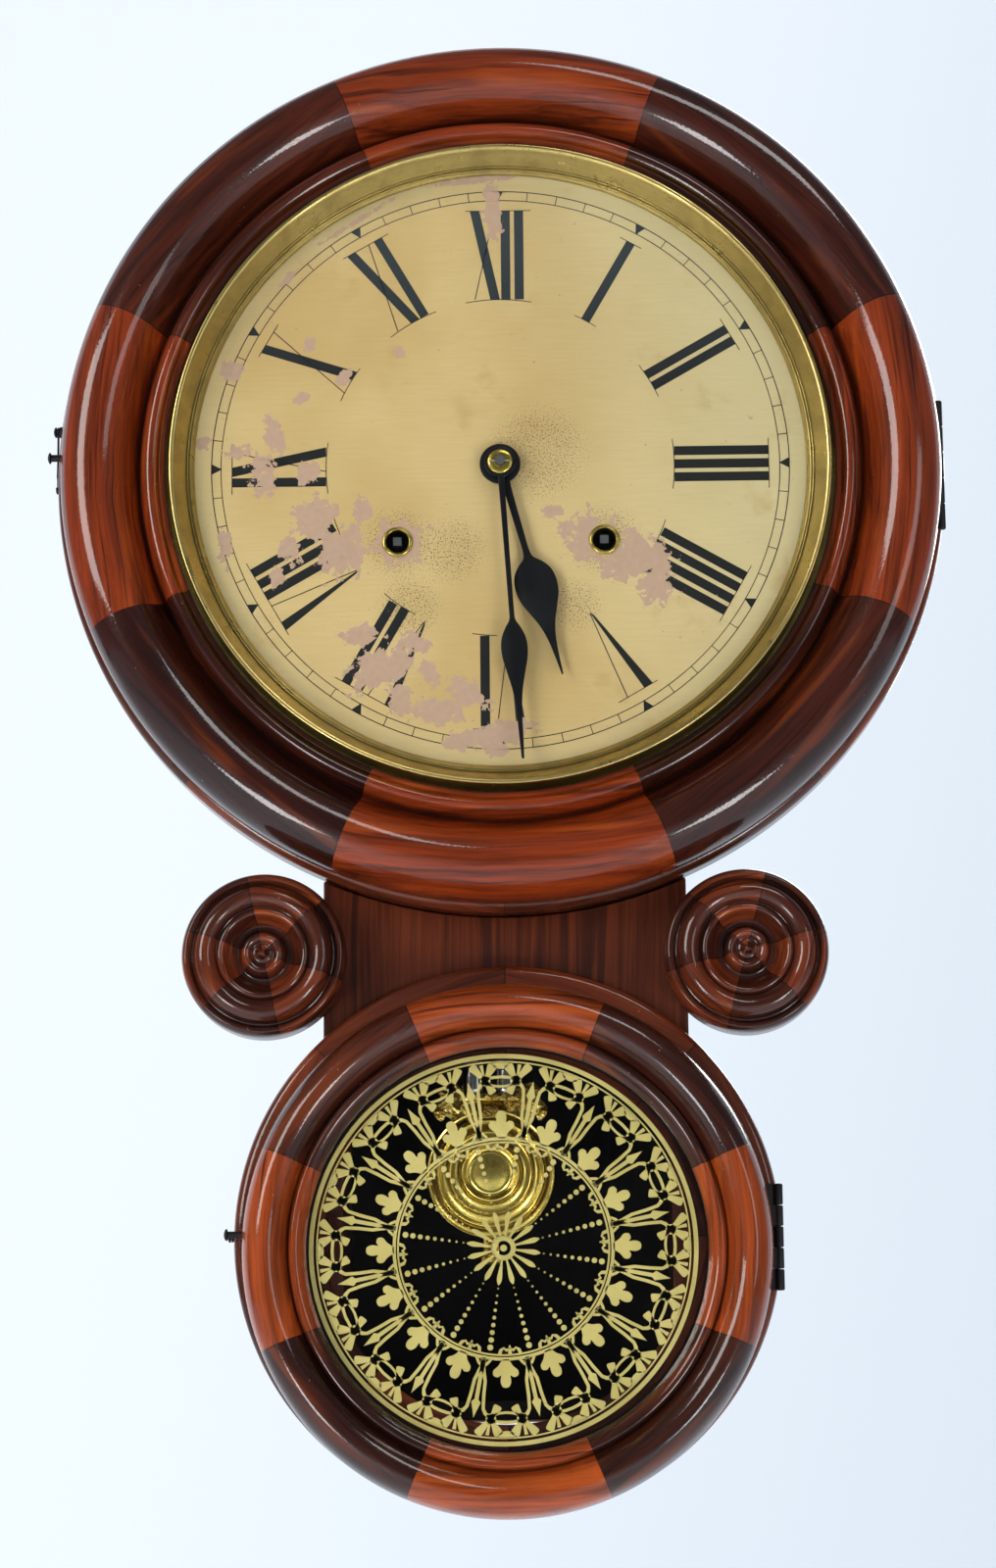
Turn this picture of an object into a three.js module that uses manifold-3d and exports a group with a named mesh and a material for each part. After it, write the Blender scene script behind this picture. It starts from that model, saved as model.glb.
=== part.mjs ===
// Figure-eight wall clock with two hinged ring doors, eight-day movement, gong and pendulum.
// Millimetres, +Z up, the front faces -Y, the wall is the plane Y = 0.
// The origin is on the back face, on the axis of the dial.
import * as THREE from "three";
import { mergeVertices } from "three/addons/utils/BufferGeometryUtils.js";
import Module from "manifold-3d";

const wasm = await Module();
wasm.setup();

// ---------------------------------------------------------------- dimensions
const TRUNK_HALF = 75, // half the width of the trunk
  BOARD = 8, // thickness of the trunk's sides
  TRUNK_TOP = 165,
  TRUNK_BOTTOM = -392,
  BACK_T = 9, // backboard
  TRUNK_FRONT = -72, // front edges of the trunk's sides
  BASE_FRONT = -92, // front face of both fixed rings
  UP_BASE_R = 186.5,
  COLLAR_IN = 122, // raised collar of the upper fixed ring, which carries the dial
  COLLAR_OUT = 134,
  COLLAR_FRONT = -98.7,
  DIAL_BACK = -98.9,
  DIAL_FRONT = -100,
  DIAL_R = 133.4,
  UP_DOOR_R = 184,
  LOW_BASE_Z = -319.5,
  LOW_BASE_R = 110.5,
  LOW_BASE_HOLE = 74,
  LOW_DOOR_Z = -324, // the lower door hangs a little below the middle of its fixed ring
  LOW_DOOR_R = 106.5,
  DOOR_BACK = -92.5,
  HINGE_Y = -92.25,
  UP_HINGE_X = 184,
  LOW_HINGE_X = 109.2,
  KNUCKLE_R = 1.8,
  ROUNDEL_X = 98.6,
  ROUNDEL_Z = -204,
  ROUNDEL_R = 33.7,
  WIND_X = 43,
  WIND_Z = -32.3,
  PLATE_HALF_X = 57,
  PLATE_HALF_Z = 75,
  PLATE_T = 1.6,
  BACK_PLATE_Y = -16, // its rear face
  FRONT_PLATE_Y = -50, // its rear face
  PEND_X = -7,
  PEND_Z = 60, // the pendulum's and the verge's axis
  PEND_Y = -62,
  BOB_Z = -291.5,
  BOB_R = 26.5,
  MW = 13.576, // offset of the minute wheel's stud, both ways
  GONG_X = 30,
  GONG_Z = -140,
  GONG_Y = -47;

// ------------------------------------------------------------------- colours
const mat = (color, roughness, metalness = 0) =>
  new THREE.MeshStandardMaterial({ color, roughness, metalness });
const M = {
  light: mat(0x9c4318, 0.3),
  dark: mat(0x4a1c10, 0.3),
  pine: mat(0x8d6a45, 0.75),
  veneer: mat(0x3a1710, 0.45),
  brass: mat(0x9d8a3c, 0.35, 1),
  oldbrass: mat(0x8a7434, 0.5, 1),
  steel: mat(0x8b8d90, 0.4, 1),
  blued: mat(0x15161c, 0.35, 0.8),
  iron: mat(0x1c1c1e, 0.6, 0.7),
  dial: mat(0xd6c692, 0.7),
  glass: new THREE.MeshStandardMaterial({ color: 0xdfe6e4, roughness: 0.05, transparent: true, opacity: 0.25 }),
  silver: mat(0xc9ccce, 0.25, 1),
  putty: mat(0x0d0c0b, 0.8),
};

// ------------------------------------------------------------------- helpers
const root = new THREE.Group();
const TAU = Math.PI * 2;

// keeps positions only, joins shared corners and turns the faces outwards
function solid(geometry) {
  const g = new THREE.BufferGeometry();
  const src = geometry.index ? geometry.toNonIndexed() : geometry;
  g.setAttribute("position", src.getAttribute("position").clone());
  const m = mergeVertices(g, 1e-4);
  const p = m.attributes.position.array,
    keep = [];
  let volume = 0;
  const idx = m.index.array;
  for (let i = 0; i < idx.length; i += 3) {
    const [a, b, c] = [idx[i], idx[i + 1], idx[i + 2]];
    if (a === b || b === c || c === a) continue;
    keep.push(a, b, c);
    const ax = p[3 * a], ay = p[3 * a + 1], az = p[3 * a + 2];
    const bx = p[3 * b], by = p[3 * b + 1], bz = p[3 * b + 2];
    const cx = p[3 * c], cy = p[3 * c + 1], cz = p[3 * c + 2];
    volume += ax * (by * cz - bz * cy) + ay * (bz * cx - bx * cz) + az * (bx * cy - by * cx);
  }
  if (volume < 0) for (let i = 0; i < keep.length; i += 3) [keep[i + 1], keep[i + 2]] = [keep[i + 2], keep[i + 1]];
  m.setIndex(keep);
  return m;
}
const toM = (geometry) => {
  const s = solid(geometry);
  return new wasm.Manifold(
    new wasm.Mesh({
      numProp: 3,
      vertProperties: new Float32Array(s.attributes.position.array),
      triVerts: new Uint32Array(s.index.array),
    }),
  );
};
const fromM = (m) => {
  const o = m.getMesh();
  const g = new THREE.BufferGeometry();
  const n = o.numProp, v = new Float32Array(o.numVert * 3);
  for (let i = 0; i < o.numVert; i++) v.set(o.vertProperties.subarray(i * n, i * n + 3), i * 3);
  g.setAttribute("position", new THREE.BufferAttribute(v, 3));
  g.setIndex(new THREE.BufferAttribute(new Uint32Array(o.triVerts), 1));
  return g;
};
const cut = (a, ...bs) => fromM(bs.reduce((m, b) => m.subtract(toM(b)), toM(a)));
const join = (...gs) => fromM(gs.slice(1).reduce((m, b) => m.add(toM(b)), toM(gs[0])));

const box = (x0, x1, y0, y1, z0, z1) =>
  new THREE.BoxGeometry(x1 - x0, Math.abs(y1 - y0), z1 - z0).translate((x0 + x1) / 2, (y0 + y1) / 2, (z0 + z1) / 2);
// turned about the Y axis; profile is a list of [radius, y]
const turned = (profile, seg, closed = true) => {
  const pts = profile.map(([r, y]) => new THREE.Vector2(r, y));
  if (closed) pts.push(pts[0].clone());
  return new THREE.LatheGeometry(pts, seg);
};
const rodY = (r, y0, y1, seg = 16, x = 0, z = 0) =>
  new THREE.CylinderGeometry(r, r, Math.abs(y1 - y0), seg).translate(x, (y0 + y1) / 2, z);
const rodZ = (r, z0, z1, seg = 16, x = 0, y = 0) =>
  new THREE.CylinderGeometry(r, r, z1 - z0, seg).rotateX(Math.PI / 2).translate(x, y, (z0 + z1) / 2);
const rodX = (r, x0, x1, seg = 16, y = 0, z = 0) =>
  new THREE.CylinderGeometry(r, r, x1 - x0, seg).rotateZ(Math.PI / 2).translate((x0 + x1) / 2, y, z);
// a shape drawn in X and Z, from the plane y0 forward to y1
const plateXZ = (shape, y0, y1, curveSegments = 12) =>
  new THREE.ExtrudeGeometry(shape, { depth: Math.abs(y1 - y0), bevelEnabled: false, curveSegments })
    .rotateX(Math.PI / 2)
    .translate(0, Math.max(y0, y1), 0);
// a shape drawn in Y and Z, from x0 to x1
const plateYZ = (shape, x0, x1, curveSegments = 12) => {
  const g = new THREE.ExtrudeGeometry(shape, { depth: x1 - x0, bevelEnabled: false, curveSegments });
  g.applyMatrix4(new THREE.Matrix4().makeBasis(new THREE.Vector3(0, 1, 0), new THREE.Vector3(0, 0, 1), new THREE.Vector3(1, 0, 0)));
  return g.translate(x0, 0, 0);
};
const poly = (points) => {
  const s = new THREE.Shape();
  const area = points.reduce((t, [x, z], i) => t + x * points[(i + 1) % points.length][1] - z * points[(i + 1) % points.length][0], 0);
  (area < 0 ? [...points].reverse() : points).forEach(([x, z], i) => (i ? s.lineTo(x, z) : s.moveTo(x, z)));
  s.closePath();
  return s;
};
const disc = (r, n, cx = 0, cz = 0, phase = 0) =>
  Array.from({ length: n }, (_, i) => [cx + r * Math.cos((TAU * i) / n + phase), cz + r * Math.sin((TAU * i) / n + phase)]);
const hole = (points) => {
  const p = new THREE.Path();
  [...points].reverse().forEach(([x, z], i) => (i ? p.lineTo(x, z) : p.moveTo(x, z)));
  p.closePath();
  return p;
};
// a toothed outline: n teeth between the root and tip radii
const teeth = (n, root_, tip, wRoot, wTip, phase = 0, lean = 0) => {
  const out = [];
  for (let i = 0; i < n; i++) {
    const a = phase + (TAU * i) / n, p = TAU / n;
    out.push([root_, a - (wRoot * p) / 2], [tip, a - (wTip * p) / 2 + lean * p], [tip, a + (wTip * p) / 2 + lean * p], [root_, a + (wRoot * p) / 2]);
  }
  return out.map(([r, a]) => [r * Math.cos(a), r * Math.sin(a)]);
};
// the radius of a 24-sided bore that a shaft of radius r turns in with 0.08 mm to spare
const bore = (r) => (r + 0.08) / Math.cos(Math.PI / 24);
const put = (name, geometry, material, at = [0, 0, 0]) => {
  const mesh = new THREE.Mesh(solid(geometry), material);
  mesh.name = name;
  mesh.position.set(...at);
  root.add(mesh);
  return mesh;
};

// ---------------------------------------------------------------------- case
// backboard between the sides, with a recess and a pocket for the hanger plate
put(
  "backboard",
  cut(box(-67, 67, -BACK_T, 0, TRUNK_BOTTOM, TRUNK_TOP), box(-18.3, 18.3, -2, 1, 109.7, 150.3), box(-8, 8, -7.5, 1, 116, 146)),
  M.pine,
);
put("trunk_side_left", box(-TRUNK_HALF, -67, TRUNK_FRONT, 0, TRUNK_BOTTOM, TRUNK_TOP), M.dark);
put("trunk_side_right", box(67, TRUNK_HALF, TRUNK_FRONT, 0, TRUNK_BOTTOM, TRUNK_TOP), M.dark);
put("trunk_top", box(-67, 67, TRUNK_FRONT, -BACK_T, TRUNK_TOP - BOARD, TRUNK_TOP), M.pine);
put("trunk_bottom", box(-67, 67, TRUNK_FRONT, -BACK_T, TRUNK_BOTTOM, TRUNK_BOTTOM + BOARD), M.pine);
// hanger plate with a keyhole, let in flush with the back
{
  const s = poly([[-18, 110], [18, 110], [18, 150], [-18, 150]]);
  const k = [];
  for (let i = 0; i <= 12; i++) {
    const a = Math.PI * 0.83 + (Math.PI * 1.34 * i) / 12;
    k.push([5 * Math.cos(a), 123 + 5 * Math.sin(a)]);
  }
  for (let i = 0; i <= 6; i++) {
    const a = (Math.PI * i) / 6;
    k.push([2.6 * Math.cos(a), 138 + 2.6 * Math.sin(a)]);
  }
  s.holes.push(hole(k));
  put("hanger_plate", plateXZ(s, 0, -1.6), M.iron);
}

// fixed rings that carry the doors
const UH = { x0: 169, z0: -27.5, z1: 28, x: UP_HINGE_X, xe: UP_HINGE_X };
const LH = { x0: 96, z0: -341.5, z1: -299, x: LOW_HINGE_X, xe: LOW_HINGE_X };
const hingeRoom = (h) => rodZ(2.3, h.z0 - 0.5, h.z1 + 0.5, 14, h.x, HINGE_Y);
const caseLeafRoom = (h) => box(h.x0 - 0.3, h.xe, -93.5, -90.3, h.z0 - 0.3, h.z1 + 0.3);
const doorLeafRoom = (h) => box(h.x0 - 0.3, h.xe, -94.2, -91, h.z0 - 0.3, h.z1 + 0.3);
// the hooks: pivots on the fixed rings, pins on the doors
const UPIN = { y: -99, z: 6 }, UPIV = { y: -83, z: 22 };
const LPIN = { y: -99, z: -317.8 }, LPIV = { y: -84, z: -317.8 };
const screwRoom = (v, xo, xs) => join(rodX(2.7, xo - 3, xs - 3.9, 16, v.y, v.z), rodX(1.45, xo - 3, xs + 1, 16, v.y, v.z));

put(
  "upper_base_ring",
  cut(
    turned(
      [[0, -72], [183.5, -72], [UP_BASE_R, -75], [UP_BASE_R, -87.5], [185.2, -90.7], [182, BASE_FRONT], [COLLAR_OUT, BASE_FRONT], [COLLAR_OUT, COLLAR_FRONT], [COLLAR_IN, COLLAR_FRONT], [COLLAR_IN, BASE_FRONT], [0, BASE_FRONT]],
      60,
      false,
    ),
    box(-62, 62, -100, -60, -80, 80), // the way in for the movement
    hingeRoom(UH),
    caseLeafRoom(UH),
    screwRoom(UPIV, -186.9, -178),
  ),
  M.light,
);
put(
  "lower_base_ring",
  cut(
    turned(
      [[LOW_BASE_HOLE, -72], [107.5, -72], [LOW_BASE_R, -75], [LOW_BASE_R, -87.5], [109.2, -90.7], [106, BASE_FRONT], [LOW_BASE_HOLE, BASE_FRONT]],
      48,
    ).translate(0, 0, LOW_BASE_Z),
    hingeRoom(LH),
    caseLeafRoom(LH),
    screwRoom(LPIV, -110.9, -102),
  ),
  M.dark,
);
// waist panel between the rings
put(
  "waist_panel",
  cut(
    box(-TRUNK_HALF, TRUNK_HALF, -78, TRUNK_FRONT, -235, -150),
    rodY(UP_BASE_R + 0.6, -90, -60, 60),
    rodY(LOW_BASE_R + 0.6, -90, -60, 48, 0, LOW_BASE_Z),
  ),
  M.veneer,
);
for (const [side, s] of [["left", -1], ["right", 1]]) {
  put("roundel_block_" + side, box(s > 0 ? 75 : -103, s > 0 ? 103 : -75, -46, -78, ROUNDEL_Z - 20, ROUNDEL_Z + 20), M.dark);
  put(
    "roundel_" + side,
    turned(
      [[0, -78.3], [31.5, -78.3], [ROUNDEL_R, -80.5], [ROUNDEL_R, -93.6], [31.4, -96.8], [29, -95.2], [27.4, -99], [24, -102.2], [19.2, -98.8],
        [17.2, -99.6], [11.6, -93], [9, -93.6], [8.6, -98.4], [6.6, -99.8], [4.2, -97.6], [0, -101.4]],
      28,
      false,
    ),
    M.light,
    [s * ROUNDEL_X, 0, ROUNDEL_Z],
  );
}

// -------------------------------------------------------------- dial, hinges
{
  const s = poly(disc(DIAL_R, 60));
  s.holes.push(hole(disc(4.6, 20)), hole(disc(5.6, 24, -WIND_X, WIND_Z)), hole(disc(5.6, 24, WIND_X, WIND_Z)));
  put("dial", plateXZ(s, DIAL_BACK, DIAL_FRONT), M.dial);
}
for (const [name, x] of [["winding_grommet_strike", -WIND_X], ["winding_grommet_time", WIND_X]])
  put(name, turned([[4.7, -98], [5.3, -98], [5.3, -100.1], [6.3, -100.1], [6.2, -100.7], [5.2, -101], [4.7, -100.7]], 24), M.brass, [x, 0, WIND_Z]);

function hinge(prefix, h) {
  const n = 5, len = (h.z1 - h.z0) / n, gap = 0.15;
  const knuckle = (i, bored) => {
    const a = h.z0 + i * len + (i ? gap : 0), b = h.z0 + (i + 1) * len - (i < n - 1 ? gap : 0);
    const k = rodZ(KNUCKLE_R, a, b, 14, h.x, HINGE_Y);
    return bored ? cut(k, rodZ(bore(0.8), a - 1, b + 1, 24, h.x, HINGE_Y)) : k;
  };
  const caseLeaf = box(h.x0, h.x - 1.2, -92.1, -90.8, h.z0, h.z1);
  const doorLeaf = box(h.x0, h.x - 1.2, -93.7, -92.4, h.z0, h.z1);
  const clear = (list) => list.map((i) => rodZ(2.1, h.z0 + i * len - gap, h.z0 + (i + 1) * len + gap, 14, h.x, HINGE_Y));
  // the case leaf carries three knuckles and the pin, the door leaf the two bored ones
  put(
    prefix + "_hinge_case_leaf",
    join(cut(caseLeaf, ...clear([1, 3])), knuckle(0), knuckle(2), knuckle(4), rodZ(0.8, h.z0 + 1, h.z1 - 1, 16, h.x, HINGE_Y)),
    M.iron,
  );
  put(prefix + "_hinge_door_leaf", join(cut(doorLeaf, ...clear([0, 2, 4])), knuckle(1, true), knuckle(3, true)), M.iron);
}
hinge("upper", UH);
hinge("lower", LH);

// --------------------------------------------------------------- upper door
put(
  "upper_door_ring",
  cut(
    turned(
      [[142.3, DOOR_BACK], [UP_DOOR_R, DOOR_BACK], [UP_DOOR_R, -100], [182.2, -107.8], [178, -113.9], [169.8, -118.2], [163.6, -116.8],
        [157.4, -111], [152.6, -102], [150.5, -100.2], [149.2, -104.8], [146.2, -109], [144, -109], [139.5, -105.8], [139.5, -95.2], [142.3, -95.2]],
      56,
    ),
    hingeRoom(UH),
    doorLeafRoom(UH),
    rodX(1.7, -190, -179, 12, UPIN.y, UPIN.z),
  ),
  M.dark,
);
// brass ring that holds the glass and covers the edge of the dial
put(
  "sight_ring",
  turned(
    [[142, -93.2], [142, -94.9], [137.4, -94.9], [137.4, -112.7], [134.9, -112.7], [134.9, -111.9], [136.3, -111.9], [136.3, -110.1],
      [130.8, -103.2], [127.7, -100.9], [127.7, -100.4], [129.2, -100.4], [136.3, -108.6], [136.3, -93.2]],
    56,
  ),
  M.brass,
);
put("upper_glass", turned([[0, -111.7], [135.9, -111.7], [135.9, -110.3], [0, -110.3]], 56, false), M.glass);
put("upper_catch_pin", join(rodX(1.5, -188.2, -180, 12, UPIN.y, UPIN.z), rodX(2.4, -189.3, -188.05, 20, UPIN.y, UPIN.z)), M.iron);

// --------------------------------------------------------------- lower door
put(
  "lower_door_ring",
  cut(
    turned(
      [[83.6, DOOR_BACK], [LOW_DOOR_R, DOOR_BACK], [LOW_DOOR_R, -99], [105, -107.4], [101.4, -113.6], [97.2, -115.8], [92.6, -114.2],
        [89, -108.4], [87.4, -106.2], [84.6, -108.5], [82.2, -107], [80.3, -103], [80.3, -101.6], [83.6, -101.6]],
      48,
    ).translate(0, 0, LOW_DOOR_Z),
    hingeRoom(LH),
    doorLeafRoom(LH),
    rodX(1.6, -113, -102.5, 12, LPIN.y, LPIN.z),
  ),
  M.light,
);
put("tablet_glass", turned([[0, -101.4], [83.3, -101.4], [83.3, -99.8], [0, -99.8]], 48, false), M.glass, [0, 0, LOW_DOOR_Z]);
put("tablet_retainer", turned([[83.3, -99.6], [79.6, -99.6], [81.4, -96.2], [83.3, -96.2]], 48), M.pine, [0, 0, LOW_DOOR_Z]);
put("lower_catch_pin", join(rodX(1.4, -112.2, -103.5, 12, LPIN.y, LPIN.z), rodX(2.4, -113.5, -112.1, 20, LPIN.y, LPIN.z)), M.iron);

// hooks: flat steel bars on a screw in the fixed ring. turn is the angle of the bar at rest
// from straight down; the notch is on the side that meets the pin
function catchHook(prefix, piv, pin, xo, xs, turn, side, shape, thick = 1.3) {
  const L = Math.hypot(pin.y - piv.y, pin.z - piv.z);
  const place = ([a, b]) => [piv.y + a * Math.cos(turn) - b * Math.sin(turn), piv.z + a * Math.sin(turn) + b * Math.cos(turn)];
  const s = poly(shape(L).map(([a, b]) => place([a * side, b])));
  s.holes.push(hole(disc(bore(1.25), 24, piv.y, piv.z)));
  put(prefix + "_catch_hook", plateYZ(s, xo - thick, xo), M.iron);
  put(
    prefix + "_catch_screw",
    join(rodX(1.25, xo - thick - 0.2, xs, 16, piv.y, piv.z), rodX(2.3, xo - thick - 1.5, xo - thick - 0.15, 20, piv.y, piv.z), rodX(2.4, xo + 0.15, xs - 4.2, 16, piv.y, piv.z)),
    M.iron,
  );
}
const hookShape = (L) => [[-2.1, 1.4], [-1.2, 2.2], [1.2, 2.2], [2.1, 1.4], [2.1, -L - 3], [0.8, -L - 4.4], [-2, -L - 4.6], [-3.4, -L - 3.4], [-3.1, -L - 2.2], [0.1, -L - 2.2], [0.1, -L + 2.2], [-2.1, -L + 2.2]];
catchHook("upper", UPIV, UPIN, -186.9, -178, 0, 1, hookShape, 0.9);
// the lower one is turned back against the side of the ring
catchHook("lower", LPIV, LPIN, -110.9, -102, Math.PI / 2, -1, hookShape, 1);

// ------------------------------------------------------------------ movement
const corner = [[-50, -68], [50, -68], [-50, 68], [50, 68]];
const plateShape = () => {
  const x = PLATE_HALF_X, z = PLATE_HALF_Z;
  const s = poly([[-x, -z], [x, -z], [x, z], [-x, z]]);
  [[0, 0, bore(1.5)], [-WIND_X, WIND_Z, bore(2.5)], [WIND_X, WIND_Z, bore(2.5)], [PEND_X, 38, bore(1.1)], [-12, -66, bore(1.25)]].forEach(([cx, cz, r]) => s.holes.push(hole(disc(r, 24, cx, cz))));
  corner.forEach(([cx, cz]) => s.holes.push(hole(disc(2.2, 12, cx, cz))));
  return s;
};
put("back_plate", plateXZ(plateShape(), BACK_PLATE_Y, BACK_PLATE_Y - PLATE_T), M.brass);
put(
  "front_plate",
  join(
    plateXZ(plateShape(), FRONT_PLATE_Y, FRONT_PLATE_Y - PLATE_T),
    // riveted studs: the minute wheel's, the verge's and the slotted suspension post
    rodY(1.2, FRONT_PLATE_Y - 0.8, -80, 16, MW, MW),
    rodY(1.4, FRONT_PLATE_Y - 0.8, -57.6, 16, PEND_X, PEND_Z),
    cut(rodY(2.8, FRONT_PLATE_Y - 0.8, -66, 20, PEND_X, PEND_Z + 7.4), box(PEND_X - 4, PEND_X + 4, -62.6, -61.4, 60, PEND_Z + 8.4)),
  ),
  M.brass,
);
corner.forEach(([x, z], i) =>
  put(
    "pillar_" + (i + 1),
    turned([[0, -9], [4, -9], [4, -11], [3.2, -12], [3.2, -15.8], [2, -15.8], [2, -17.8], [3.2, -17.8], [3.2, -49.8], [2, -49.8], [2, -51.8], [3.4, -51.8], [3.4, -54], [0, -54]], 12, false),
    M.oldbrass,
    [x, 0, z],
  ),
);

// winding arbors: square end, ratchet and great wheel in one with the arbor
for (const [name, s] of [["strike", -1], ["time", 1]]) {
  put(
    "winding_arbor_" + name,
    join(
      rodY(2.5, -13, -80, 16),
      new THREE.BoxGeometry(3.5, 22, 3.5).translate(0, -90, 0),
      plateXZ(poly(teeth(34, 20.7, 22.9, 0.62, 0.3)), -19.4, -21.2),
      plateXZ(poly(teeth(12, 8.2, 10, 0.9, 0.12, 0, 0.35)), -21, -23),
      rodY(4.2, -22.9, -47.6, 16),
    ),
    M.steel,
    [s * WIND_X, 0, WIND_Z],
  );
  put("mainspring_" + name, turned([[5, -25], [20, -25], [20, -46], [5, -46]], 32), M.steel, [s * WIND_X, 0, WIND_Z]);
}

// centre arbor with the cannon pinion; minute wheel and its pinion; hour wheel and pipe
const PIN12 = teeth(12, 3.95, 5.35, 0.52, 0.16, Math.PI / 4);
const WH36 = teeth(36, 13.55, 14.95, 0.5, 0.16, (Math.PI * 5) / 4 + Math.PI / 36);
const PIN10 = teeth(10, 2.95, 4.3, 0.5, 0.14, (Math.PI * 5) / 4);
const WH40 = teeth(40, 14.55, 15.9, 0.5, 0.16, Math.PI / 4 + Math.PI / 40);
put(
  "centre_arbor",
  cut(
    join(
      rodY(1.5, -13, -72, 20),
      rodY(2, -69.8, -109.3, 24),
      plateXZ(poly(PIN12), -69.6, -73),
      plateXZ(poly(teeth(32, 16.6, 18.4, 0.62, 0.3)), -30, -31.6),
    ),
    rodX(0.5, -3, 3, 8, -108.2, 0),
  ),
  M.steel,
);
{
  const w = poly(WH36);
  w.holes.push(hole(disc(bore(1.2), 24)));
  const p = poly(PIN10);
  p.holes.push(hole(disc(bore(1.2), 24)));
  put("minute_wheel", join(plateXZ(w, -70.4, -72.2), plateXZ(p, -72, -79)), M.brass, [MW, 0, MW]);
}
{
  const w = poly(WH40);
  w.holes.push(hole(disc(bore(2), 24)));
  const p = poly(disc(3.4, 24));
  p.holes.push(hole(disc(bore(2), 24)));
  put("hour_wheel", join(plateXZ(w, -75.6, -77.4), plateXZ(p, -77, -104)), M.brass);
}

// escapement: wheel on its arbor, verge on the stud, with the crutch that leads the pendulum
put(
  "escape_wheel",
  join(plateXZ(poly(teeth(24, 11, 14, 0.6, 0.1, 0, 0.3)), -54, -55.4), rodY(1.1, -14, -55.2, 16), rodY(2.2, -25, -33, 12)),
  M.brass,
  [PEND_X, 0, 38],
);
{
  const out = [], inn = [];
  for (let i = 0; i <= 10; i++) {
    const a = Math.PI * (0.5 + 0.27) - (Math.PI * 0.54 * i) / 10;
    out.push([17.8 * Math.cos(a), -22 + 17.8 * Math.sin(a)]);
    inn.push([15.9 * Math.cos(a), -22 + 15.9 * Math.sin(a)]);
  }
  const strap = plateXZ(poly([...out, ...inn.reverse()]), -53.4, -56);
  const hub = rodY(3.2, -53.4, -57.4, 20);
  const stem = plateXZ(poly([[-2, -5.5], [2, -5.5], [2, -2], [-2, -2]]), -53.4, -56);
  // crutch: a wire down beside the wheel, ending in a fork round the rod
  const arm = plateXZ(poly([[-2, -2.4], [-3, -1], [-19.4, -12], [-19.4, -40], [-7.4, -66], [-7.4, -74], [-5.2, -74], [-5.2, -66], [-17.2, -39], [-17.2, -13]]), -56.2, -57.4);
  const bridge = box(-7.4, 2.9, -57.4, -56.2, -76, -73);
  const prongR = box(1.5, 2.9, -64.6, -56.4, -76, -73);
  const prongL = box(-2.9, -1.5, -64.6, -56.4, -76, -73);
  put("verge", cut(join(strap, hub, stem, arm, bridge, prongR, prongL), rodY(bore(1.4), -52, -59, 24)), M.steel, [PEND_X, 0, PEND_Z]);
}

// strike: hammer on its arbor, gong coil on a post from the backboard
put(
  "hammer",
  join(rodY(1.25, -14, -53, 16), plateXZ(poly([[-1.3, 1.5], [1.3, 1.5], [1.3, -74], [-1.3, -74]]), -46, -48), rodX(3.5, -4, 7.2, 16, -47, -74)),
  M.iron,
  [-12, 0, -66],
);
put("gong_base", turned([[0, -9], [9, -9], [9, -13], [5, -16], [4, -20], [4, -50], [0, -50]], 20, false), M.iron, [GONG_X, 0, GONG_Z]);
{
  class Spiral extends THREE.Curve {
    getPoint(t, target = new THREE.Vector3()) {
      const a = t * TAU * 2.75, r = 6.2 + (32 - 6.2) * Math.min(1, t / 0.97);
      return target.set(r * Math.cos(a), r * Math.sin(a), 0);
    }
  }
  const coil = new THREE.ExtrudeGeometry(poly(disc(1.15, 6)), { steps: 48, bevelEnabled: false, extrudePath: new Spiral() }).rotateX(Math.PI / 2);
  put("gong_coil", join(coil, box(4.3, 7.6, -1.6, 1.6, -1.6, 1.6)), M.steel, [GONG_X, GONG_Y, GONG_Z]);
}

// --------------------------------------------------------------------- hands
// drawn pointing down, then turned to the time; half widths against the distance from the centre
const handXZ = (pts) => poly([...pts, ...[...pts].reverse().map(([w, z]) => [-w, z])]);
const eye = (r, rb) => {
  const s = poly(disc(r, 24));
  s.holes.push(hole(disc(rb, 24)));
  return s;
};
{
  const minute = join(
    plateXZ(eye(6.5, 2.1), -105.2, -106.6),
    plateXZ(handXZ([[1.5, -5.6], [1.1, -66], [1.9, -68], [4.6, -74], [5.5, -79.6], [4.6, -85], [2.4, -91], [0.9, -100], [0.75, -124], [0.3, -126]]), -105.6, -106.4),
  );
  const hour = join(
    plateXZ(eye(8.5, 3.55), -102.4, -103.8),
    plateXZ(handXZ([[1.8, -7.8], [1.5, -40], [3, -42.5], [7.2, -48.5], [8.8, -54], [7.4, -60], [4, -66.5], [1.6, -72], [0.9, -80], [0.35, -93.4]]), -102.7, -103.5),
  );
  // 3.8 and 15.5 degrees before straight down, as seen from the front
  put("minute_hand", minute.rotateY((-3.8 * Math.PI) / 180), M.blued);
  put("hour_hand", hour.rotateY((-15.5 * Math.PI) / 180), M.blued);
  put("hand_washer", turned([[2.12, -106.8], [5.2, -106.8], [5, -107.2], [3.4, -107.6], [2.12, -107.6]], 24), M.brass);
  put("taper_pin", rodX(0.35, -4.4, 4.4, 8, -108.2, 0), M.steel);
}

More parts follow.
